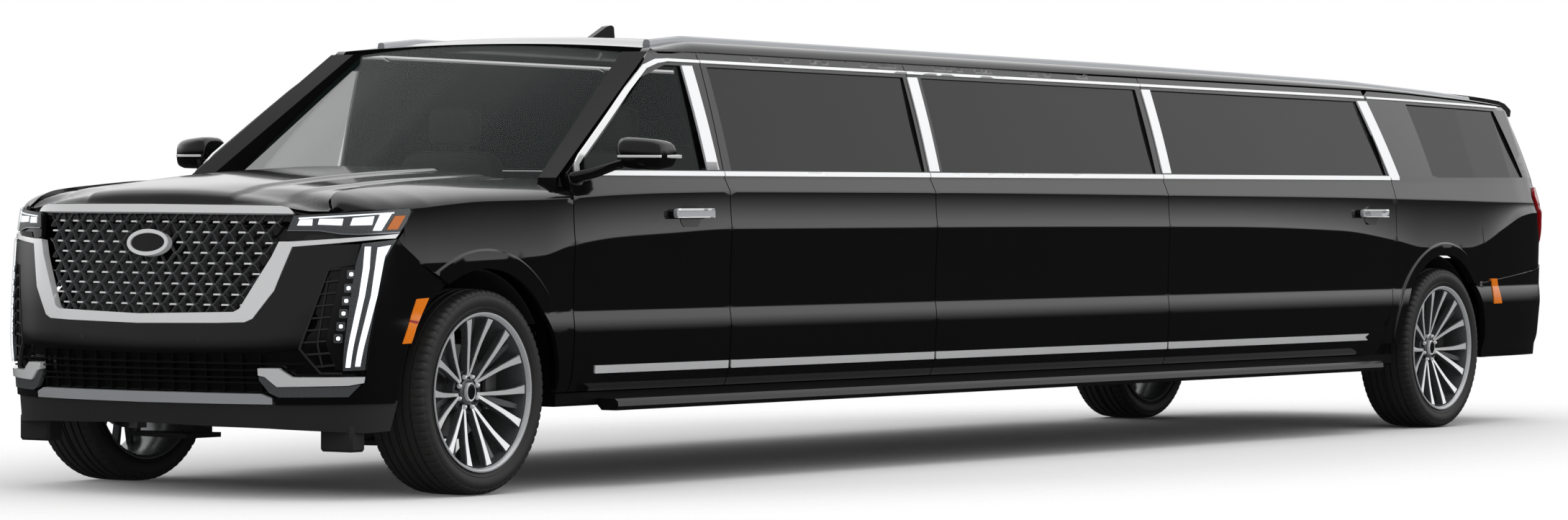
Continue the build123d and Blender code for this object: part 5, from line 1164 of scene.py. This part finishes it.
def ribbon(k):
    base = cells["low"] + k * cells["pitch"]
    limit = float(np.interp(base, [.742, 1.04, 1.1], [.486, .600, .606]))
    ws = np.arange(-limit, limit + .0001, cells["width"] / 12)
    phase = (ws / cells["width"] + (.5 if k % 2 else 0)) % 1
    wave = np.clip(1.55 * (4 * np.abs(phase - .5) - 1), -1, 1)
    zs = base + cells["reach"] * wave
    grid = []
    rows = [(-.5, .3), (-.32, 0), (.32, 0), (.5, .3), (.42, 1), (-.42, 1)]
    points = noseSurface(ws, zs)
    normal = normalsOn(noseSurface, ws, zs, (1, 0, 0))
    for p, n in zip(points, normal):
        grid.append([p - n * (.024 + cells["depth"] * d) + np.array([0, 0, cells["barHigh"] * s])
                     for s, d in rows])
    return gridShape(grid, wrapCols=True, caps=True)


mesh = [ribbon(k) for k in range(cells["rows"])]
makePiece("grille_cells", "body", mesh, looks["gunmetal"], "grille", angle=50,
          turnOut=True)
links = []
for k in range(cells["rows"]):
    base = cells["low"] + (k + .5) * cells["pitch"]
    limit = float(np.interp(base, [.742, 1.04, 1.1], [.470, .585, .590]))
    for n in range(-8, 9):
        at = (n + (.25 if k % 2 else -.25)) * cells["width"]
        if abs(at) < limit and (abs(at) > .12 or abs(base - 1.0) > .06) and k < cells["rows"] - 1:
            link = [(at - .017, base - .003), (at + .017, base - .003),
                    (at + .014, base + .0035), (at - .014, base + .0035)]
            links.append(panelShape(noseSurface, link, spacing=.1, lift=-.020, thick=.008,
                                    rim=.001, out=(1, 0, 0)))
makePiece("grille_links", "body", links, looks["chrome"])
backShapes = [noseShape([(0, 1156), (600, 1150), (790, 1126), (790, 1090), (0, 1100)],
                        whole=True, lift=-.032, thick=.008),
              noseShape([(0, 1122), (618, 1112), (610, 1000), (486, 728), (0, 712)],
                        whole=True, lift=-.075, thick=.01)]
makePiece("grille_back", "body", backShapes, looks["glossBlack"])


def ovalLoop(w, z, a, b, count=40):
    return [(w + a * math.cos(t), z + b * math.sin(t))
            for t in np.linspace(0, 2 * math.pi, count, endpoint=False)]


badge = [panelShape(noseSurface, ovalLoop(0, 1.0, .105, .052), [ovalLoop(0, 1.0, .088, .037)],
                    lift=.004, thick=.03, rim=.005, spacing=.02, edge=.012, out=(1, 0, 0)),
         panelShape(noseSurface, ovalLoop(0, 1.0, .090, .039), lift=-.004, thick=.02, rim=.002,
                    spacing=.02, edge=.012, out=(1, 0, 0), material=1)]
makePiece("grille_oval", "body", badge, [chrome, looks["glossBlack"]])
sensors = []
for w, z in ((-.30, .628), (.30, .628)):
    sensors.append(panelShape(noseSurface, ovalLoop(w, z, .013, .013, 18), lift=.001, thick=.004,
                              rim=.001, spacing=.02, out=(1, 0, 0)))
makePiece("parking_sensors", "body", sensors, looks["blackPlastic"])
print("grille made")

# upper lamps
lampLens = [(641, 1053), (657, 1109), (882, 1123), (1126, 1139), (1134, 1126), (1120, 1085),
            (1093, 1047), (916, 1039), (844, 1041), (760, 1052)]
lampBack = [(636, 1018), (650, 1112), (882, 1127), (1130, 1142), (1138, 1126), (1122, 1083),
            (1096, 1040), (1016, 1036), (664, 1010)]
ledBlocks = [[(676, 1071), (731, 1071), (730, 1095), (683, 1094)],
             [(752, 1075), (845, 1072), (847, 1098), (755, 1097)],
             [(879, 1072), (968, 1074), (972, 1108), (886, 1101)],
             [(974, 1052), (1009, 1052), (1044, 1117), (996, 1117)]]
ledLine = [(678, 1096), (1055, 1119), (1055, 1124), (678, 1101)]
amberBlock = [(1032, 1056), (1081, 1057), (1110, 1111), (1062, 1109)]
lowerTrim = [(700, 1014), (716, 1036), (812, 1038), (840, 1020)]
upper = [noseShape(lampBack, lift=-.006, thick=.02, material=1),
         noseShape(lampLens, lift=-.001, thick=.004, material=5, rim=.001)]
upper += [noseShape(b, lift=.003, thick=.006, material=0, rim=.002) for b in ledBlocks + [ledLine]]
upper += [noseShape(amberBlock, lift=.003, thick=.006, material=3, rim=.002),
          noseShape(lowerTrim, lift=-.003, thick=.006, material=4, rim=.002)]
upper.append(noseShape([(640, 1049), (760, 1049), (844, 1037), (916, 1035), (1093, 1043),
                        (1094, 1048), (916, 1040), (844, 1042), (760, 1054), (642, 1054)],
                       lift=.002, thick=.005, material=2, rim=.001))
# tall lamps
tallBack = [(937, 1002), (1083, 1018), (1029, 931), (954, 512), (872, 509), (917, 925)]
tallBars = [[(948, 990), (972, 990), (970, 905), (956, 800), (900, 522), (882, 522), (934, 800),
             (945, 905)],
            [(1000, 987), (1056, 996), (1030, 950), (1004, 800), (936, 526), (918, 526), (980, 800),
             (992, 905)]]
upper += [noseShape(tallBack, lift=.004, thick=.03, material=5, rim=.004)]
upper += [noseShape(b, lift=.008, thick=.006, material=0, rim=.003, edge=.012) for b in tallBars]
houseBack = [(862, 910), (917, 917), (905, 800), (884, 616), (871, 509), (843, 511), (812, 613),
             (835, 760)]
upper.append(noseShape(houseBack, lift=-.004, thick=.02, material=1))
ledCubes = [(900, 883), (892, 829), (885, 780), (876, 731), (867, 681), (858, 634)]
for w, z in ledCubes:
    for size, lift, number in ((21, .0, 1), (17, .004, 5), (12, .007, 2), (7.5, .010, 0)):
        s = size
        upper.append(noseShape([(w - s, z - s + 3), (w - s + 4, z - s), (w + s - 4, z - s),
                                (w + s, z - s + 3), (w + s, z + s - 3), (w + s - 4, z + s),
                                (w - s + 4, z + s), (w - s, z + s - 3)],
                               lift=lift, thick=.008, material=number, rim=.002, edge=.02))
lampLooks = [looks["lampWhite"], looks["glossBlack"], looks["reflector"], looks["amber"],
             looks["blackPlastic"], looks["alloyDark"]]
makePiece("front_lamp_units", "body", bothSides(upper), lampLooks, "front_lamps")
covers = [noseShape(lampLens, lift=.008, thick=.003, rim=.001),
          noseShape([(w + (4 if w > 950 else -4), z) for w, z in tallBack], lift=.014, thick=.003,
                    rim=.001)]
makePiece("front_lamp_lenses", "body", bothSides(covers), looks["lens"])

# louvres beside the tall lamps
vent = [noseShape([(811, 903), (862, 910), (812, 613), (843, 511), (871, 509), (884, 500),
                   (784, 499), (716, 594)], lift=-.03, thick=.008, material=1)]
for z in range(520, 900, 47):
    left = float(np.interp(z, [499, 594, 903], [784, 718, 811]))
    rightW = float(np.interp(z, [511, 613, 760, 910], [845, 812, 836, 862]))
    vent.append(noseShape([(left, z), (rightW, z + 7), (rightW, z + 14), (left, z + 7)], lift=-.003,
                          thick=.02, material=0, rim=.002))
vent.append(noseShape([(805, 903), (812, 903), (722, 594), (790, 502), (868, 502), (868, 496),
                       (784, 496), (714, 594)], lift=.002, thick=.012, material=0, rim=.002))
vent.append(noseShape([(806, 870), (812, 870), (784, 613), (800, 520), (794, 518), (778, 613)],
                      lift=-.006, thick=.012, material=0, rim=.002))
makePiece("bumper_louvres", "body", bothSides(vent), [looks["blackPlastic"], looks["glossBlack"]])
marker = [(1180, 785), (1244, 789), (1172, 677), (1145, 613), (1108, 611), (1142, 696)]
markerShapes = bothSides([noseShape(marker, lift=.003, thick=.008, rim=.002),
                          noseShape([(1174, 688), (1186, 697), (1146, 704), (1141, 697)],
                                    lift=.0045, thick=.008, material=1)])
makePiece("front_markers", "body", markerShapes, [looks["amber"], looks["lampRed"]])
print("lamps made")

# mirrors
mirrorHead = {"front": cutA - .178, "rear": cutA - .336, "inner": 1.088, "outer": 1.286,
              "low": 1.298, "high": 1.436}


def mirrorShapes():
    m = mirrorHead
    ys = [0, .02, .07, .2, .4, .6, .8, .93, .98, 1]
    size = [.55, .74, .90, .98, 1, 1, .97, .86, .72, .5]
    grid = []
    for share, s in zip(ys, size):
        y = m["inner"] + (m["outer"] - m["inner"]) * share
        mid = (m["low"] + m["high"]) / 2 - .012 * share
        half = (m["high"] - m["low"]) / 2 * s * (1 - .10 * share)
        front = m["front"] - .045 * share ** 2 - .05 * (1 - s)
        row = []
        for t in np.linspace(0, 2 * math.pi, 28, endpoint=False):
            c, q = math.cos(t), math.sin(t)
            xx = math.copysign(abs(c) ** .55, c)
            zz = math.copysign(abs(q) ** .62, q)
            cx, hx = (front + m["rear"]) / 2, (front - m["rear"]) / 2
            row.append((cx + hx * xx, y, mid + half * zz))
        grid.append(row)
    head = gridShape(grid, wrapCols=True, caps=True)
    strip = []
    for share, s in zip(ys[2:-1], size[2:-1]):
        y = m["inner"] + (m["outer"] - m["inner"]) * share
        front = m["front"] - .045 * share ** 2 - .05 * (1 - s)
        strip.append([(front - .03, y, 1.357), (front + .002, y, 1.355), (front + .0035, y, 1.350),
                      (front + .002, y, 1.345), (front - .03, y, 1.343)])
    last = strip[-1]
    strip.append([(p[0] - .10, p[1] + .010, p[2]) for p in last])
    brightBand = gridShape(strip, wrapCols=True, caps=True, material=1)
    pane = slab((m["rear"] - .002, m["inner"] + .022, m["low"] + .016),
                (m["rear"] + .004, m["outer"] - .03, m["high"] - .028), .003, material=2)
    arm = []
    eight = [(1, -.4), (.7, -1), (-.7, -1), (-1, -.4), (-1, .4), (-.7, 1), (.7, 1), (1, .4)]
    for back, y, z, w, h in ((.055, .972, 1.262, .11, .035), (.07, 1.00, 1.268, .10, .04),
                             (.12, 1.04, 1.285, .075, .034), (.18, 1.09, 1.312, .065, .03),
                             (.22, 1.13, 1.33, .06, .03)):
        arm.append([(cutA - back + w / 2 * a, y, z + h / 2 * b) for a, b in eight])
    return [head, brightBand, pane, gridShape(arm, wrapCols=True, caps=True)]


mirrorLooks = [looks["paint"], chrome, looks["reflector"]]
for side in ("left", "right"):
    shapes = mirrorShapes()
    shapes = shapes if side == "left" else [mirrored(s) for s in shapes]
    makePiece(f"mirror_head_{side}", f"front_door_{side}", shapes, mirrorLooks,
              f"door_mirror_{side}", angle=40, turnOut=True)
print("mirrors made")

# tail
tailMiddle = roofEnd - tailSpan
lampShape = [(-4.952, 1.236), (-4.938, 1.19), (-4.955, 1.12), (-5.02, .96), (-5.062, .888),
             (-5.094, .888), (-5.104, 1.10), (-5.106, 1.236)]
lampEdge = [(-5.086, .90), (-5.098, .90), (-5.108, 1.10), (-5.116, 1.45), (-5.110, 1.60),
            (-5.104, 1.60), (-5.108, 1.45), (-5.097, 1.10)]
tailLamp = [skinShape(lampShape, lift=.011, thick=.03, rim=.005, spacing=.03, edge=.02),
            skinShape(lampEdge, lift=.007, thick=.02, rim=.002, edge=.02, spacing=.1, rows=[],
                      material=0)]
makePiece("tail_lamp_units", "body", bothSides(tailLamp), [looks["lampRed"], looks["lampWhite"]],
          "tail_lamps")
bumperLine = [(rearAxle - .351, .729), (roofEnd, .795), (-5.10, .852), (tailMiddle, .854),
              (tailMiddle, .36), (-5.1, .35), (roofEnd, .35)]
bumperArch = arcPoints(rearAxle, car["rearArch"], 180 + 7.2, 180 - 40.5, 16)
bumperArch = [(x, max(z, .35)) for x, z in bumperArch]
rearSkin = skinShape(bumperLine + bumperArch[:-1], lift=.006, thick=.03,
                     extra=flareExtra(rearAxle, car["rearFlare"]))
plate = skinShape([(tailMiddle, .50), (tailMiddle + .085, .50), (tailMiddle + .085, .66),
                   (tailMiddle, .66)], lift=.012, thick=.01, material=1)
makePiece("rear_bumper_skin", "body", bothSides([rearSkin, plate]),
          [looks["paint"], looks["blackPlastic"]], "rear_bumper")
markers = bothSides([skinShape([(-4.385, .63), (-4.372, .76), (-4.433, .76), (-4.480, .63)],
                               lift=.010, thick=.01)])
makePiece("rear_markers", "body", markers, looks["amber"])
gateOutline = [(-5.106, .865), (-5.112, 1.05), (-5.118, 1.25), (-5.128, 1.45), (-5.138, 1.60),
               (-5.145, 1.655), (tailMiddle, 1.66), (tailMiddle, .865)]
gateGlass = skinShape([(-5.165, 1.29), (-5.172, 1.45), (-5.18, 1.585), (tailMiddle, 1.59),
                       (tailMiddle, 1.275), (-5.19, 1.275)], lift=.004, thick=.006)
gate = skinShape(gateOutline, thick=.03)
recess = skinShape([(tailMiddle, .93), (tailMiddle + .10, .93), (tailMiddle + .10, 1.08),
                    (tailMiddle, 1.08)], lift=.003, thick=.01, material=1)
lidBar = skinShape([(tailMiddle, 1.10), (tailMiddle + .16, 1.10), (tailMiddle + .16, 1.125),
                    (tailMiddle, 1.125)], lift=.010, thick=.015, material=2, rim=.004)
makePiece("tailgate_skin", "tailgate", bothSides([gate, recess, lidBar]),
          [looks["paint"], looks["blackPlastic"], chrome], "tailgate")
makePiece("tailgate_pane", "tailgate", bothSides([gateGlass]), looks["darkGlass"], "tailgate_glass")
ledge = {"half": .76, "top": 1.752, "fall": .055, "front": -4.910, "rear": -5.085, "sweep": .035}
spoiler = []
for y in np.linspace(-ledge["half"], ledge["half"], 31):
    a = abs(y) / ledge["half"]
    z0 = ledge["top"] - ledge["fall"] * a ** 2.6
    front, rear = ledge["front"], ledge["rear"] + ledge["sweep"] * a ** 3
    spoiler.append([(front, y, z0 - .022), (front, y, z0), ((front + rear) / 2, y, z0 - .014),
                    (rear + .01, y, z0 - .042), (rear, y, z0 - .05), (rear + .008, y, z0 - .082),
                    (rear + .05, y, z0 - .085)])
makePiece("tail_spoiler", "tailgate", [gridShape(spoiler, wrapCols=True, caps=True)],
          looks["paint"], angle=30, turnOut=True)
flapLow, flapHigh = .862, 1.028
flapRear, flapFront = rearAxle - .630, rearAxle - .455
flap = [skinShape([(flapRear, flapLow), (flapFront, flapLow), (flapFront, flapHigh),
                   (flapRear, flapHigh)], lift=.0015, thick=.006, rim=.002)]
makePiece("fuel_flap", "body", flap, looks["paint"])
rearWiper = [skinShape([(tailMiddle, 1.300), (tailMiddle + .19, 1.312), (tailMiddle + .19, 1.322),
                        (tailMiddle, 1.312)], lift=.016, thick=.01, rim=.002)]
makePiece("rear_wiper", "tailgate", bothSides(rearWiper)[:1], looks["blackPlastic"])
print("tail made")

# seats: crowned cushions with sewn channels
seat = {"frontX": cutA - .78, "frontY": .42, "channels": 5, "fill": .8, "benchPlaces": 5}


# a rounded, crowned block; channels are sewn grooves across its upper face
def cushionShape(low, high, power=.32, channels=0, axis=1, count=(44, 40)):
    low, high = np.array(low, float), np.array(high, float)
    middle, half = (low + high) / 2, (high - low) / 2
    grid = []
    for phi in np.linspace(-math.pi / 2 + .001, math.pi / 2 - .001, count[0]):
        row = []
        for theta in np.linspace(0, 2 * math.pi, count[1], endpoint=False):
            def pw(v):
                return math.copysign(abs(v) ** power, v)
            p = np.array([pw(math.cos(phi)) * pw(math.cos(theta)),
                          pw(math.cos(phi)) * pw(math.sin(theta)), pw(math.sin(phi))])
            groove = 0
            if channels:
                s = (p[axis] + 1) / 2 * channels
                near = abs(s - round(s))
                if .5 < s < channels - .5 and near < .09:
                    groove = (1 - near / .09) * .05
            row.append(middle + half * p * (1 - groove))
        grid.append(row)
    return gridShape(grid, wrapCols=True, caps=True)


def frontSeat():
    x, y = seat["frontX"], seat["frontY"]
    base = cushionShape((x - .22, y - .235, .622), (x + .22, y + .235, .775), .2)
    sewn = seat["channels"]
    cushion = cushionShape((x - .26, y - .26, .765), (x + .275, y + .26, .905), .34, channels=sewn)
    back = cushionShape((x - .335, y - .255, .87), (x - .215, y + .255, 1.375), .34, channels=sewn)
    head = cushionShape((x - .34, y - .125, 1.40), (x - .255, y + .125, 1.565), .42)
    posts = [cushionShape((x - .305, y + s - .008, 1.34), (x - .29, y + s + .008, 1.43), .6,
                          count=(8, 10)) for s in (-.06, .06)]
    return [base, cushion, back, head] + posts


frontSeats = makePiece("front_seat_cushions", "body", bothSides(frontSeat()), looks["leather"],
                       "front_seats", angle=60, turnOut=True)
lounge = []
benchX = np.linspace(cutE + .33, cutC - .15, seat["benchPlaces"] + 1)
for a, b in zip(benchX, benchX[1:]):
    for low, high in (((a + .006, -.815, .93), (b - .006, -.265, 1.052)),
                      ((a + .006, -.818, 1.05), (b - .006, -.675, 1.42))):
        lounge.append(cushionShape(low, high, .26, channels=seat["channels"], axis=0))
    lounge.append(cushionShape((a + .002, -.80, .622), (b - .002, -.29, .935), .12))
for a, b in ((-.635, -.215), (-.21, .21), (.215, .635)):
    lounge.append(cushionShape((-3.70, a, .93), (-3.21, b, 1.052), .26, channels=4))
    lounge.append(cushionShape((-3.90, a, 1.02), (-3.755, b, 1.45), .26, channels=4))
    lounge.append(cushionShape((-3.755, a, .622), (-3.24, b, .935), .12))
loungeSeats = makePiece("lounge_cushions", "body", lounge, looks["leather"], "lounge_seats",
                        angle=60, turnOut=True)
print("seats made")

# wipers
wiper = {"blades": [((-.80, .035), (-.10, .075)), ((-.05, .03), (.66, .07))], "wide": .018,
         "arm": [(.34, -.02), (.36, -.02), (.40, .03), (.37, .035)]}
wipers = []
for a, b in wiper["blades"]:
    wipers.append(panelShape(windshieldSurface, [a, b, (b[0], b[1] + wiper["wide"]),
                                                 (a[0], a[1] + wiper["wide"])],
                             spacing=.1, lift=.016, thick=.012, rim=.003, out=(1, 0, .5)))
    arm = [(a[0] + u, a[1] + v) for u, v in wiper["arm"]]
    wipers.append(panelShape(windshieldSurface, arm, spacing=.1, lift=.022, thick=.01, rim=.003,
                             out=(1, 0, .5)))
makePiece("wipers", "body", wipers, looks["blackPlastic"])

# finishes of the kept nodes
kept = {"chassis": ["ladder_frame", "front_suspension"], "carpet": ["floor_pan"],
        "glossBlack": ["roof_antenna", "running_boards"],
        "frameBlack": ["cabin_frame", "windshield_frame"],
        "blackPlastic": ["wheel_wells", "dashboard", "steering_wheel", "fuel_tank"],
        "satinSilver": ["roof_rails", "exhaust"],
        "driveline": ["engine_block", "rear_axle", "drive_shaft"],
        "steel": ["front_knuckle_left", "front_knuckle_right"],
        "darkGlass": ["side_glass", "rear_door_glass_left", "rear_door_glass_right"],
        "clearGlass": ["front_door_glass_left", "front_door_glass_right"]}
for look, names in kept.items():
    for name in names:
        mesh = nodes[name].data
        mesh.materials.clear()
        mesh.materials.append(looks[look])
print("kept nodes finished")


# camera, floor and light
studio = {"lens": 129.71, "shiftY": .010984, "softbox": 130, "ambient": .84}
shot = {"place": (22.17096, 14.58389, 1.2469), "yaw": -2.54393720, "pitch": -.0167774113,
        "roll": .00449892968}
camera = bpy.data.objects.new("camera", bpy.data.cameras.new("camera"))
camera.data.lens = studio["lens"]
camera.data.sensor_width = 36
camera.data.sensor_fit = "HORIZONTAL"
camera.data.shift_y = studio["shiftY"]
camera.data.clip_end = 200
forward = np.array([math.cos(shot["pitch"]) * math.cos(shot["yaw"]),
                    math.cos(shot["pitch"]) * math.sin(shot["yaw"]), math.sin(shot["pitch"])])
level = np.cross(forward, [0, 0, 1])
level /= np.linalg.norm(level)
above = np.cross(level, forward)
right = math.cos(shot["roll"]) * level + math.sin(shot["roll"]) * above
up = -math.sin(shot["roll"]) * level + math.cos(shot["roll"]) * above
camera.matrix_world = Matrix([(*(float(v) for v in (right[i], up[i], -forward[i])),
                               shot["place"][i]) for i in range(3)] + [(0, 0, 0, 1)])
bpy.context.scene.collection.objects.link(camera)
bpy.context.scene.camera = camera
bpy.context.scene.view_settings.view_transform = "Standard"

world = bpy.data.worlds.new("studio")
bpy.context.scene.world = world
world.use_nodes = True
sky = Look("sky", world.node_tree)
background = world.node_tree.nodes["Background"]
ray = lambda kind: sky.add("ShaderNodeLightPath", output=kind)
direction = sky.add("ShaderNodeTexCoord", output=0)
parts = world.node_tree.nodes.new("ShaderNodeSeparateXYZ")
world.node_tree.links.new(direction.socket, parts.inputs[0])
dirX, dirZ = (Wire(sky, parts.outputs[i]) for i in (0, 2))
skyRamp = ((0, .02), (.496, .02), (.503, .06), (.522, .35), (.56, 1.05), (.75, 1.1), (1, 1.2))
sideSky = sky.add("ShaderNodeValToRGB", {"stops": [(at, (grey,) * 3) for at, grey in skyRamp]},
                  {0: dirZ * .5 + .5})
ahead = sky.add("ShaderNodeMapRange", {"interpolation_type": "SMOOTHSTEP"},
                {"Value": dirX, "From Min": -.15, "From Max": .45, "To Min": 1.0, "To Max": .30})
glossy = sky.add("ShaderNodeMix", {"data_type": "RGBA", "blend_type": "MULTIPLY"},
                 {0: 1.0, 6: sideSky, 7: ahead}, output=2)
seen = sky.add("ShaderNodeMix", {"data_type": "RGBA"},
               {0: ray(3), 6: (*[studio["ambient"]] * 3, 1), 7: glossy}, output=2)
clear = ray(0).maths("MAXIMUM", ray(0), ray(6))
seen = sky.add("ShaderNodeMix", {"data_type": "RGBA"}, {0: clear, 6: seen, 7: (1, 1, 1, 1)},
               output=2)
sky.join(seen, background.inputs["Color"])
background.inputs["Strength"].default_value = 1.0


def areaLamp(name, place, aim, size, power):
    lamp = bpy.data.objects.new(name, bpy.data.lights.new(name, "AREA"))
    lamp.data.shape = "RECTANGLE"
    lamp.data.size, lamp.data.size_y = size
    lamp.data.energy = power
    lamp.location = place
    lamp.rotation_euler = (Vector(aim) - Vector(place)).to_track_quat("-Z", "Y").to_euler()
    lamp.visible_glossy = False
    bpy.context.scene.collection.objects.link(lamp)
    return lamp


areaLamp("top_softbox", (0, 1.5, 6), (0, 0, 0), (12, 4.5), studio["softbox"])

floorMesh = bpy.data.meshes.new("floor")
floorMesh.from_pydata([(-30, -30, 0), (30, -30, 0), (30, 30, 0), (-30, 30, 0)], [], [(0, 1, 2, 3)])
floor = bpy.data.objects.new("floor", floorMesh)
bpy.context.scene.collection.objects.link(floor)
floorLook = Look("floorLook", Roughness=.9, Specular_IOR_Level=.0)
place = floorLook.add("ShaderNodeTexCoord", output=3)
stretched = floorLook.add("ShaderNodeMapping", {},
                          {"Vector": place, "Scale": (1 / 7.6, 1 / 3.6, 1)})
reach = floorLook.add("ShaderNodeVectorMath", {"operation": "LENGTH"}, {0: stretched}, output=1)
fade = floorLook.add("ShaderNodeMapRange", {"interpolation_type": "SMOOTHSTEP"},
                     {"Value": reach, "From Min": .55, "From Max": 1.0, "To Min": 1.0,
                      "To Max": 0.0})
grain = floorLook.noise(2.0)
floorLook.drive(Base_Color=floorLook.blendColour(grain, (.92, .92, .92), (.9, .9, .9)), Alpha=fade)
floorMesh.materials.append(floorLook.material)
floor.visible_glossy = False
print("camera, floor and lights set")
